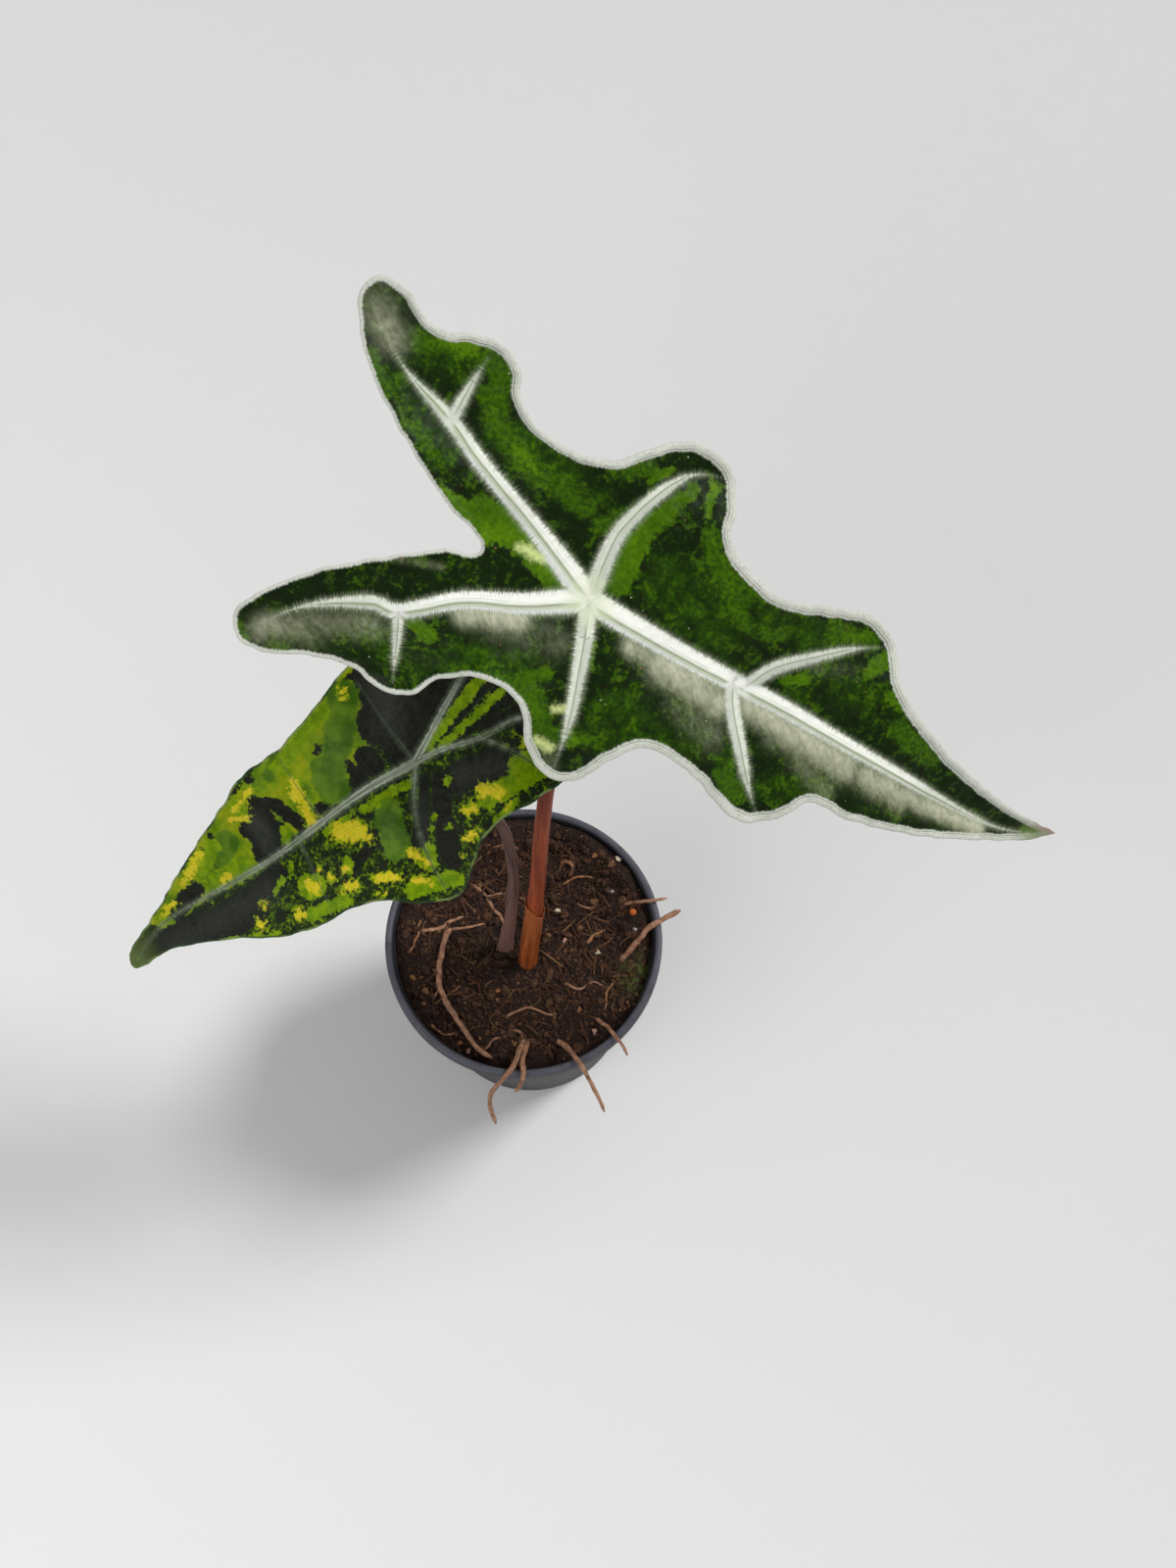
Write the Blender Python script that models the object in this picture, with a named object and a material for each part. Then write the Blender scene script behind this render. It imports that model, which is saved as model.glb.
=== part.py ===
"""Alocasia with two arrow-shaped leaves, growing in a small round nursery pot.

Lengths in this file are millimetres; MM turns them into Blender's metres.
+Z is up, and the origin is the middle of the pot's underside.
A leaf's flat outline is given in its own frame: u runs along the midrib to the tip,
v runs across it, and the seat on the leaf stalk is at u = v = 0.
"""
import math
from dataclasses import dataclass

import bmesh
import bpy
from mathutils import Euler, Matrix, Vector, noise
from mathutils.geometry import delaunay_2d_cdt

MM = 0.001
GAP = 0.3

# Pot
POT_SIDES = 64
POT_HEIGHT = 80.0
RIM_RADIUS = 45.0
MOUTH_RADIUS = 42.2
LIP_DEPTH = 5.0
COLLAR_DEPTH = 16.0
COLLAR_RADIUS = 42.7
SHOULDER_RADIUS = 42.0
BASE_RADIUS = 34.2
WALL = 0.9
FLOOR_TOP = 3.3
FLOOR_CORNER = 1.2
STEP_RISE = 0.8
LIP_ROUNDING = 1.0
LIP_FOOT_ROUNDING = 0.4
FOOT_CHAMFER = 1.2
FOOT_OUTER = 33.6
FOOT_INNER = 30.8
FOOT_DRAFT = 0.4
GROOVE_DEPTH = 2.0
PAD_RADIUS = 17.0
DRAIN_HOLES = 8
DRAIN_RADIUS = 3.0
DRAIN_CIRCLE = 23.8
DRAIN_SIDES = 16

# Soil
SOIL_TOP = 73.8
SOIL_RELIEF = 0.9
SOIL_GRAIN = 9.0
SOIL_RINGS = 9
SOIL_FOOT_CORNER = (1.8, 2.0)
SOIL_SEED_PLACE = (3.1, 7.7, 1.9)

# Corm and the feeding roots under the soil
CORM_CENTRE = (-3.0, -5.6)
CORM_TOP = 66.0
CORM_HEIGHT = 21.0
CORM_RADIUS = 9.5
CORM_SIDES = 16
CORM_RINGS = 9
CORM_SQUARENESS = 2.8
FEEDER_COUNT = 6
FEEDER_TURN = 0.3
FEEDER_START = 4.0
FEEDER_START_DROP = 8.0
FEEDER_STAGGER = 2.0
FEEDER_REACH = 25.0
FEEDER_SHORTER = 4.0
FEEDER_FALL = 36.0
FEEDER_DEEPER = 5.0
FEEDER_SHOULDER = (0.6, 0.2)
FEEDER_STEP = 6.0
FEEDER_RADII = (1.5, 0.9)

# Leaf stalks
STALK_SIDES = 12
STALK_STEP = 4.5
UPPER_STALK = [(0.0, -6.4, 66.4), (1.2, -5.6, 74), (3.3, 0, 93), (4.9, 4.9, 110), (6.6, 11.2, 131),
               (8.6, 18.1, 155), (12.1, 25.4, 182), (16.4, 32.3, 210), (19.4, 37.8, 225)]
UPPER_STALK_RADII = [(66.4, 2.85), (104, 2.6), (114, 2.4), (155, 2.25), (225, 1.8)]
SHEATH_TOP = 104.0
SHEATH_SLANT = 9.0
SHEATH_THICKNESS = 0.35
SHAFT_DEPTH = 2.0
SHAFT_RISE = 6.0
LOWER_STALK = [(-7.0, -4.6, 66.4), (-6.4, -1.9, 74), (-4.2, 3.2, 88), (-2.6, 9.2, 104), (-2.1, 12.2, 115),
               (-2.6, 14, 127), (-4.3, 15.8, 142), (-9.2, 16.4, 156), (-16.1, 16.2, 172), (-22.6, 16, 184)]
LOWER_STALK_RADII = [(66.4, 2.1), (104, 1.75), (184, 1.4)]

# Roots that come up out of the soil, from their buried end to their free tip
ROOT_SIDES = 6
ROOT_STEP = 3.6
ROOT_WALL_CLEARANCE = 2.5
ROOTS = {
    "root_left_on_soil": ([(-22, 9, 66), (-25.7, 2.1, 74.9), (-27.4, -11.3, 75.8), (-25.8, -18, 76),
                           (-19.9, -27.6, 76), (-14.3, -35.2, 76.2), (-9.5, -38.4, 75.6)], 1.35, 1.0),
    "root_front_left": ([(1.5, -26, 67), (-0.1, -33.2, 74.6), (-1.6, -38.6, 79.2), (-3.2, -43.3, 81.5),
                         (-6.6, -46.8, 79.6), (-9.6, -49.6, 74.5), (-10.4, -52, 69),
                         (-8.7, -56.6, 62)], 1.0, 0.7),
    "root_front": ([(3, -28, 68), (1, -35.4, 76), (0.4, -40.4, 80.2), (0.5, -44.6, 81.4),
                    (-0.3, -47.4, 78), (-2.2, -48.6, 73.5)], 0.9, 0.7),
    "root_front_right": ([(7, -27, 67), (11.8, -33.1, 75), (15.2, -36.6, 79.2), (17.4, -40, 81.5),
                          (20.6, -45, 80.4), (23.6, -49.8, 76.4), (26.1, -54.6, 71.5)], 1.0, 0.55),
    "root_right_edge": ([(19, -20, 67), (25.4, -26.8, 75.4), (28.6, -31.4, 80.6), (31.2, -34.8, 81.4),
                         (33.4, -38.2, 78.6)], 0.75, 0.5),
    "root_right": ([(26, -8, 67), (32.4, -5.2, 74.8), (37.1, -0.7, 79.6), (41.4, 3.4, 81.8),
                    (46.6, 6.4, 82.4), (51, 8.8, 81.6)], 1.0, 0.9),
    "root_right_back": ([(27, 11, 67), (33.6, 12.8, 75.4), (38.6, 12.2, 80.6), (43.6, 12.6, 81.2),
                         (46.8, 13.4, 80.2)], 0.7, 0.5),
}

# Blades
BLADE_THICKNESS = 0.9
BLADE_GRID = 6.0
GRID_CLEARANCE = 0.62 * BLADE_GRID
MARGIN_STEP = 4.0
MARGIN_CLEARANCE = 0.4 * MARGIN_STEP
VEIN_STEP = 5.0
VEIN_CLEARANCE = 0.45 * VEIN_STEP
MAIN_RIB_DEPTH = 1.3
SIDE_RIB_DEPTH = 0.7
RIB_HALF_WIDTH = 2.2
FLANK_CLEARANCE = 0.8 * RIB_HALF_WIDTH
RIB_TAPER = 0.6
SEAT_BOSS_RADIUS = 3.4
SEAT_BOSS_DEPTH = 1.5
SEAT_BOSS_SIDES = 8
SEAT_BOSS_TOLERANCE = 0.1
CUP_REACH = 14.0
QUILT = 1.5
QUILT_REACH = 6.0
WAVE_REACH = 11.0


@dataclass
class Leaf:
    """A blade: where it sits, its flat outline and veins, and how it bends out of the flat."""
    name: str
    seat: tuple
    heading: float
    dip: float
    roll: float
    margins: tuple
    main_veins: tuple
    side_veins: tuple
    arch_front: float
    arch_back: float
    cup: float
    waves: tuple

    def turn(self):
        return Euler((math.radians(self.roll), math.radians(self.dip), math.radians(self.heading)))

    def normal(self):
        return self.turn().to_matrix() @ Vector((0, 0, 1))

    def stalk_end(self):
        """The point just under the seat boss where the leaf stalk ends."""
        return Vector(self.seat) - self.normal() * (BLADE_THICKNESS + SEAT_BOSS_DEPTH + GAP)


UPPER_LEAF = Leaf(
    name="upper_blade",
    seat=(21.1, 39.3, 235.0), heading=-16.3, dip=25.7, roll=28.5,
    margins=(
        [(-28.5, -1), (-39.5, 4.5), (-58.5, 16), (-71.5, 27), (-78.5, 39), (-76, 44.6), (-69.5, 44.3),
         (-64.5, 41.5), (-59, 40), (-47, 43.5), (-39.5, 40.5), (-36.5, 34.5), (-30.5, 30.5), (-20, 29),
         (-10.5, 32), (-4, 38), (3, 43.5), (12, 45), (19, 42), (22, 35), (24, 28), (31.5, 23.5), (43, 21.5),
         (59.5, 26), (70, 28.5), (80, 25), (86, 16), (99, 9.5), (119.5, 4), (142, 0.6), (162, 0)],
        [(-28.5, -1), (-39.5, -6.7), (-55, -17), (-65.5, -26.5), (-73.5, -38), (-70, -45), (-62, -44),
         (-54, -40.5), (-44.5, -39), (-35.5, -41), (-29, -38.5), (-25, -32.5), (-18, -28), (-9.5, -28),
         (-3.5, -31.5), (1.5, -38.5), (10.5, -43.3), (17, -41), (21.5, -33), (28.5, -26), (41, -27),
         (57, -32.5), (65, -33), (72, -28.5), (77.5, -21), (89.5, -21), (112.5, -17.5), (136, -11),
         (152, -5.5), (162, 0)]),
    main_veins=(
        [(0, 0), (32, -1.5), (58, -2), (92, -4), (133, -6), (150, -4), (162, 0)],
        [(0, 0), (-17, 8), (-36.5, 16.5), (-48.5, 23), (-62.5, 28.5), (-72.5, 36)],
        [(0, 0), (-14.5, -7.5), (-28, -13.5), (-40, -22.5), (-47, -23.5), (-60, -31), (-69, -41)]),
    side_veins=(
        [(0, 0), (-1.5, 15), (0.5, 24), (4, 31.5), (9.5, 38), (17, 41)],
        [(0, 0), (3, -9.5), (7.5, -25.5), (11, -41)],
        [(47.5, -1.5), (52.5, 6.5), (66.5, 17), (78.5, 23.5)],
        [(43.5, -2), (46.5, -8.5), (57, -21), (66, -29.5)],
        [(-48, 23), (-47.5, 30), (-46.5, 40)],
        [(-40, -22.5), (-37, -30), (-34, -38.5)]),
    arch_front=500, arch_back=400, cup=5.0,
    waves=((-47, 42, -3.5), (14, 44, -4), (74, 27, -4), (-18, 29, 2.5), (42, 22, 2.5), (94, 10, 2),
           (-36, -40, -3.5), (13, -43, -4), (65, -32, -4), (-14, -28, 2.5), (36, -26, 2.5),
           (82, -20, 2), (-78, 41, -3), (-74, -40, -3)))

LOWER_LEAF = Leaf(
    name="lower_blade",
    seat=(-24.7, 15.5, 190.0), heading=208.8, dip=25.2, roll=-24.2,
    margins=(
        [(-33, -1), (-38, 4.5), (-44, 11.5), (-51, 17), (-57, 22.5), (-56, 27), (-48, 28), (-38, 27),
         (-29.5, 26.5), (-22, 26), (-13, 25), (-4.5, 26.5), (4, 31.5), (11, 35), (19, 32), (28, 24),
         (36, 21), (48, 20), (60, 16.5), (76, 8), (94, 1.5), (112, 0)],
        [(-33, -1), (-39, -6.5), (-46, -13), (-54, -21), (-59, -28), (-55, -32), (-46, -32.5), (-34, -30),
         (-22, -28.5), (-12, -29.5), (-2, -30), (10, -27), (25, -24), (41, -24), (55, -19.5),
         (75, -14), (94, -8.5), (112, 0)]),
    main_veins=(
        [(0, 0), (18, -2), (51, -2), (86, -5.5), (98, -4.5), (112, 0)],
        [(0, 0), (-8.5, 1.5), (-18.5, 5), (-29, 6.5), (-38, 12), (-46, 18), (-52, 22)],
        [(0, 0), (-16, -7), (-31.5, -14), (-43, -20), (-52, -26)]),
    side_veins=(
        [(0, 0), (7.5, 11), (12, 25), (13.5, 32.5)],
        [(0, 0), (-0.5, -11), (-1.5, -27)],
        [(40.5, -2), (41, 13.5), (42.5, 19)],
        [(31, -2), (28.5, -17), (27, -22.5)],
        [(-18.5, 5), (-24.5, 14), (-27, 20)]),
    arch_front=330, arch_back=300, cup=8.0,
    waves=((12, 35, -4), (55, 19, -1.5), (0, -30, -3), (42, -24, -2), (36, 21, 2.5), (23, -24, 1.5),
           (-11, 26, 2), (-57, 25, -3), (-58, -30, -3)))


def clear_scene():
    for obj in list(bpy.data.objects):
        bpy.data.objects.remove(obj, do_unlink=True)


def finish(name, colour, roughness, metallic=0.0):
    """A plain Principled material."""
    material = bpy.data.materials.new(name)
    material.use_nodes = True
    shader = material.node_tree.nodes["Principled BSDF"]
    shader.inputs["Base Color"].default_value = (*colour, 1)
    shader.inputs["Roughness"].default_value = roughness
    shader.inputs["Metallic"].default_value = metallic
    return material


def add_object(name, mesh, material=None, smooth_below=None):
    if material:
        mesh.materials.append(material)
    if smooth_below:
        mesh.shade_smooth()
        mesh.set_sharp_from_angle(angle=math.radians(smooth_below))
    obj = bpy.data.objects.new(name, mesh)
    bpy.context.scene.collection.objects.link(obj)
    return obj


def mesh_of(name, points, faces):
    """A mesh from points in millimetres."""
    mesh = bpy.data.meshes.new(name)
    mesh.from_pydata([Vector(point) * MM for point in points], [], faces)
    mesh.validate()
    return mesh


def as_cutter(obj, collection):
    """Takes an object out of the model and keeps it as a cutting tool."""
    for owner in obj.users_collection:
        owner.objects.unlink(obj)
    collection.objects.link(obj)
    obj.hide_render = True
    obj.display_type = "WIRE"


def cutter_collection(name):
    collection = bpy.data.collections.new(name)
    bpy.context.scene.collection.children.link(collection)
    return collection


def boolean(obj, collection, operation):
    modifier = obj.modifiers.new(operation.lower(), "BOOLEAN")
    modifier.operand_type = "COLLECTION"
    modifier.collection = collection
    modifier.operation = operation
    modifier.solver = "EXACT"


def smooth_line(points, step):
    """Points about one step apart on a smooth curve through the given points."""
    knots = [Vector(point) for point in points]
    knots = [2 * knots[0] - knots[1], *knots, 2 * knots[-1] - knots[-2]]
    fine = []
    for before, start, end, after in zip(knots, knots[1:], knots[2:], knots[3:]):
        pieces = max(2, math.ceil((end - start).length / step * 8))
        for k in range(pieces):
            t = k / pieces
            fine.append(0.5 * ((2 * start) + (end - before) * t
                               + (2 * before - 5 * start + 4 * end - after) * t ** 2
                               + (3 * start - before - 3 * end + after) * t ** 3))
    fine.append(knots[-2])
    total = sum((b - a).length for a, b in zip(fine, fine[1:]))
    count = max(2, round(total / step))
    line, walked = [fine[0]], 0.0
    for a, b in zip(fine, fine[1:]):
        walked += (b - a).length
        if walked >= total * len(line) / count and len(line) < count:
            line.append(b)
    line.append(fine[-1])
    return line


def value_at(table, height):
    """A value read off a table of (height, value) pairs, straight between them."""
    if height <= table[0][0]:
        return table[0][1]
    for (low, start), (high, end) in zip(table, table[1:]):
        if height <= high:
            return start + (end - start) * (height - low) / (high - low)
    return table[-1][1]


def tube(name, line, radius_at, sides, end_plane=None):
    """A closed tube along a line; end_plane = (point, normal) cuts its last end to that plane."""
    across = Vector((1, 0, 0))
    points, faces = [], []
    for i, centre in enumerate(line):
        ahead = (line[min(i + 1, len(line) - 1)] - line[max(i - 1, 0)]).normalized()
        across = (across - ahead * across.dot(ahead)).normalized()
        up = ahead.cross(across)
        for k in range(sides):
            angle = 2 * math.pi * k / sides
            out = across * math.cos(angle) + up * math.sin(angle)
            point = centre + out * radius_at(i, centre, out)
            if end_plane and i == len(line) - 1:
                spot, normal = end_plane
                point += ahead * (spot - point).dot(normal) / ahead.dot(normal)
            points.append(point)
    for i in range(len(line) - 1):
        for k in range(sides):
            a, b = i * sides + k, i * sides + (k + 1) % sides
            faces.append((a, b, b + sides, a + sides))
    faces.append(tuple(reversed(range(sides))))
    faces.append(tuple(range(len(points) - sides, len(points))))
    return mesh_of(name, points, faces)


def turned(name, profile, sides):
    """A solid turned about Z from a profile of (radius, height) that starts and ends on the axis."""
    bm = bmesh.new()
    verts = [bm.verts.new(Vector((radius, 0, height)) * MM) for radius, height in profile]
    edges = [bm.edges.new(pair) for pair in zip(verts, verts[1:])]
    bmesh.ops.spin(bm, geom=verts + edges, cent=(0, 0, 0), axis=(0, 0, 1),
                   angle=2 * math.pi, steps=sides, use_merge=True)
    bmesh.ops.remove_doubles(bm, verts=bm.verts, dist=0.001 * MM)
    bmesh.ops.recalc_face_normals(bm, faces=bm.faces)
    mesh = bpy.data.meshes.new(name)
    bm.to_mesh(mesh)
    bm.free()
    return mesh


def inner_radius(height):
    """The pot's inside radius at a height, without the corner at the floor."""
    collar_foot = POT_HEIGHT - COLLAR_DEPTH
    if height >= collar_foot:
        return COLLAR_RADIUS - WALL
    slope = (SHOULDER_RADIUS - BASE_RADIUS) / collar_foot
    return BASE_RADIUS + slope * height - WALL


def rounded(corners):
    """A profile from (radius, height, rounding) corners; a rounded corner becomes three points."""
    profile = []
    for k, (radius, height, rounding) in enumerate(corners):
        corner = Vector((radius, height))
        if not rounding:
            profile.append(tuple(corner))
            continue
        start = corner + (Vector(corners[k - 1][:2]) - corner).normalized() * rounding
        end = corner + (Vector(corners[k + 1][:2]) - corner).normalized() * rounding
        profile += [tuple(start), tuple((start + 2 * corner + end) / 4), tuple(end)]
    return profile


def make_pot(material):
    collar_foot = POT_HEIGHT - COLLAR_DEPTH
    lip_foot = POT_HEIGHT - LIP_DEPTH
    profile = rounded([
        (0, FLOOR_TOP, 0), (inner_radius(FLOOR_TOP), FLOOR_TOP, FLOOR_CORNER),
        (inner_radius(collar_foot - STEP_RISE), collar_foot - STEP_RISE, 0),
        (inner_radius(collar_foot), collar_foot, 0), (inner_radius(lip_foot), lip_foot, 0),
        (MOUTH_RADIUS, POT_HEIGHT, LIP_ROUNDING), (RIM_RADIUS, POT_HEIGHT, LIP_ROUNDING),
        (RIM_RADIUS, lip_foot, LIP_FOOT_ROUNDING), (COLLAR_RADIUS, lip_foot, 0),
        (COLLAR_RADIUS, collar_foot + STEP_RISE / 2, 0), (SHOULDER_RADIUS, collar_foot - STEP_RISE / 2, 0),
        (BASE_RADIUS, FOOT_CHAMFER, 0), (FOOT_OUTER, 0, 0), (FOOT_INNER, 0, 0),
        (FOOT_INNER - FOOT_DRAFT, GROOVE_DEPTH, 0), (PAD_RADIUS + FOOT_DRAFT, GROOVE_DEPTH, 0),
        (PAD_RADIUS, 0, 0), (0, 0, 0)])
    pot = add_object("nursery_pot", turned("nursery_pot", profile, POT_SIDES), material, smooth_below=35)
    holes = cutter_collection("drain_holes")
    for k in range(DRAIN_HOLES):
        turn = 2 * math.pi * (k + 0.5) / DRAIN_HOLES
        bm = bmesh.new()
        bmesh.ops.create_cone(bm, cap_ends=True, segments=DRAIN_SIDES, radius1=DRAIN_RADIUS * MM,
                              radius2=DRAIN_RADIUS * MM, depth=3 * FLOOR_TOP * MM)
        mesh = bpy.data.meshes.new("drain_hole")
        bm.to_mesh(mesh)
        bm.free()
        hole = add_object("drain_hole", mesh)
        hole.location = (DRAIN_CIRCLE * MM * math.cos(turn), DRAIN_CIRCLE * MM * math.sin(turn), 0)
        as_cutter(hole, holes)
    boolean(pot, holes, "DIFFERENCE")


def soil_height(x, y):
    """The uneven top of the soil."""
    place = Vector((x, y, 0)) / SOIL_GRAIN + Vector(SOIL_SEED_PLACE)
    return SOIL_TOP + SOIL_RELIEF * noise.noise(place)


def make_soil(material, burrows):
    """The soil block, filling the pot, with a plain hole for whatever is buried in it."""
    bottom = FLOOR_TOP + GAP
    collar_foot = POT_HEIGHT - COLLAR_DEPTH
    inset, rise = SOIL_FOOT_CORNER
    rings = [(inner_radius(0) - inset, bottom)]
    side_heights = (bottom + rise, collar_foot - STEP_RISE, collar_foot + STEP_RISE / 2)
    rings += [(inner_radius(height) - GAP, height) for height in side_heights]
    rings += [(rings[-1][0] * (1 - k / SOIL_RINGS), None) for k in range(SOIL_RINGS)]
    points = [(0, 0, bottom)]
    for radius, height in rings:
        for k in range(POT_SIDES):
            angle = 2 * math.pi * k / POT_SIDES
            x, y = radius * math.cos(angle), radius * math.sin(angle)
            points.append((x, y, soil_height(x, y) if height is None else height))
    points.append((0, 0, soil_height(0, 0)))
    faces = []
    for k in range(POT_SIDES):
        after = (k + 1) % POT_SIDES
        faces.append((0, 1 + after, 1 + k))
        for ring in range(len(rings) - 1):
            low, high = 1 + ring * POT_SIDES, 1 + (ring + 1) * POT_SIDES
            faces.append((low + k, low + after, high + after, high + k))
        last = 1 + (len(rings) - 1) * POT_SIDES
        faces.append((last + k, last + after, len(points) - 1))
    mesh = mesh_of("potting_soil", points, faces)
    soil = add_object("potting_soil", mesh, material, smooth_below=35)
    boolean(soil, burrows, "DIFFERENCE")


def corm_mesh(name, grow):
    """The tuber: a blunt squared oval, grown outwards by a clearance."""
    half = CORM_HEIGHT / 2
    profile = []
    for k in range(CORM_RINGS + 1):
        turn = math.pi * k / CORM_RINGS
        power = 2 / CORM_SQUARENESS
        across = abs(math.sin(turn)) ** power if 0 < k < CORM_RINGS else 0
        along = math.copysign(abs(math.cos(turn)) ** power, math.cos(turn))
        profile.append((across * (CORM_RADIUS + grow), CORM_TOP - half + along * (half + grow)))
    mesh = turned(name, profile, CORM_SIDES)
    mesh.transform(Matrix.Translation(Vector((*CORM_CENTRE, 0)) * MM))
    return mesh


def feeder_mesh(name, k, grow):
    """One feeding root, from inside the corm outwards and down."""
    turn = 2 * math.pi * (k + FEEDER_TURN) / FEEDER_COUNT
    out = Vector((math.cos(turn), math.sin(turn), 0))
    start = Vector((*CORM_CENTRE, CORM_TOP - FEEDER_START_DROP - FEEDER_STAGGER * (k % 3)))
    reach = FEEDER_REACH - FEEDER_SHORTER * (k % 2)
    fall = FEEDER_FALL + FEEDER_DEEPER * (k % 3)
    along, down = FEEDER_SHOULDER
    shoulder = start + out * reach * along - Vector((0, 0, fall * down))
    tip = start + out * reach - Vector((0, 0, fall))
    line = smooth_line([start + out * FEEDER_START, shoulder, tip], FEEDER_STEP)
    thick, thin = FEEDER_RADII
    return tube(name, line, lambda i, *_: thick + (thin - thick) * i / (len(line) - 1) + grow, ROOT_SIDES)


def make_corm(material, burrows):
    corm = add_object("corm", corm_mesh("corm", 0), material, smooth_below=60)
    feeders = cutter_collection("feeding_roots")
    for k in range(FEEDER_COUNT):
        as_cutter(add_object("feeding_root", feeder_mesh("feeding_root", k, 0)), feeders)
        as_cutter(add_object("feeding_root_burrow", feeder_mesh("feeding_root_burrow", k, GAP)), burrows)
    boolean(corm, feeders, "UNION")
    as_cutter(add_object("corm_burrow", corm_mesh("corm_burrow", GAP)), burrows)


def stalk_radius(table, sheath):
    """The stalk's radius by height, with the sheath's slanting edge round the lower part."""
    def radius_at(_, centre, out):
        radius = value_at(table, centre.z)
        if sheath and centre.z < SHEATH_TOP - SHEATH_SLANT * out.x:
            radius += SHEATH_THICKNESS
        return radius
    return radius_at


def make_stalk(name, route, radii, leaf, material, burrows, sheath=False):
    """A leaf stalk from the corm's crown to just under the blade's seat."""
    end = leaf.stalk_end()
    line = smooth_line([*route, end], STALK_STEP)
    mesh = tube(name, line, stalk_radius(radii, sheath), STALK_SIDES, end_plane=(end, leaf.normal()))
    add_object(name, mesh, material, smooth_below=60)
    buried = [point for point in line if point.z < SOIL_TOP + SHAFT_RISE]
    shaft = [line[0] + (line[0] - line[1]).normalized() * SHAFT_DEPTH, *buried]
    wide = radii[0][1] + GAP + (SHEATH_THICKNESS if sheath else 0)
    hole = tube(name + "_hole", shaft, lambda *_: wide, STALK_SIDES)
    as_cutter(add_object(name + "_hole", hole), burrows)


def make_root(name, route, thick, thin, material, burrows):
    line = smooth_line(route, ROOT_STEP)

    def radius_at(i, *_):
        return thick + (thin - thick) * i / (len(line) - 1)

    def burrow_radius(i, *_):
        return radius_at(i) + GAP

    add_object(name, tube(name, line, radius_at, ROOT_SIDES), material, smooth_below=70)
    inside = [point for point in line if point.xy.length < MOUTH_RADIUS - ROOT_WALL_CLEARANCE]
    burrow = [line[0] + (line[0] - line[1]).normalized() * GAP, *inside]
    as_cutter(add_object(name + "_burrow", tube(name + "_burrow", burrow, burrow_radius, ROOT_SIDES)), burrows)


def off_line(u, v, line):
    """The distance from a point to a line of points in the leaf's flat."""
    best = math.inf
    for (a, b), (c, d) in zip(line, line[1:]):
        t = ((u - a) * (c - a) + (v - b) * (d - b)) / ((c - a) ** 2 + (d - b) ** 2)
        t = min(1, max(0, t))
        best = min(best, math.hypot(u - a - t * (c - a), v - b - t * (d - b)))
    return best


def inside_outline(u, v, outline):
    inside = False
    for (a, b), (c, d) in zip(outline, outline[1:] + outline[:1]):
        if (b > v) != (d > v) and u < a + (v - b) / (d - b) * (c - a):
            inside = not inside
    return inside


def blade_rise(leaf, u, v):
    """How far the blade's upper face stands off the flat of its seat."""
    arch = leaf.arch_front if u > 0 else leaf.arch_back
    from_main = min(off_line(u, v, line) for line in leaf.main_veins)
    from_side = min(off_line(u, v, line) for line in leaf.side_veins)
    rise = -u * u / (2 * arch) + leaf.cup * (1 - math.exp(-from_main / CUP_REACH))
    rise += QUILT * (1 - math.exp(-from_side / QUILT_REACH))
    for at_u, at_v, lift in leaf.waves:
        rise += lift * math.exp(-((u - at_u) ** 2 + (v - at_v) ** 2) / (2 * WAVE_REACH ** 2))
    return rise


def blade_underside(leaf, u, v, rise):
    """The under face, with ribs below the veins and a flat boss where the stalk meets it."""
    if math.hypot(u, v) < SEAT_BOSS_RADIUS + SEAT_BOSS_TOLERANCE:
        return -BLADE_THICKNESS - SEAT_BOSS_DEPTH
    from_main = min(off_line(u, v, line) for line in leaf.main_veins)
    from_side = min(off_line(u, v, line) for line in leaf.side_veins)
    main = MAIN_RIB_DEPTH * math.exp(-(from_main * 2 / RIB_HALF_WIDTH) ** 2)
    side = SIDE_RIB_DEPTH * math.exp(-(from_side * 2 / RIB_HALF_WIDTH) ** 2)
    taper = 1 - RIB_TAPER * math.hypot(u, v) / leaf.margins[0][-1][0]
    return rise - BLADE_THICKNESS - max(main, side) * taper


def blade_outline(leaf):
    """The closed margin: along one half from the sinus to the tip, and back along the other."""
    halves = []
    for margin in leaf.margins:
        line = smooth_line([(u, v, 0) for u, v in margin], MARGIN_STEP)
        halves.append([(point.x, point.y) for point in line])
    outline = halves[1] + list(reversed(halves[0]))[1:-1]
    return outline


def keep_apart(points, candidates, distance):
    """Adds the candidates that are no nearer than a distance to what is already there."""
    for u, v in candidates:
        if all(math.hypot(u - a, v - b) >= distance for a, b in points):
            points.append((u, v))


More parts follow.
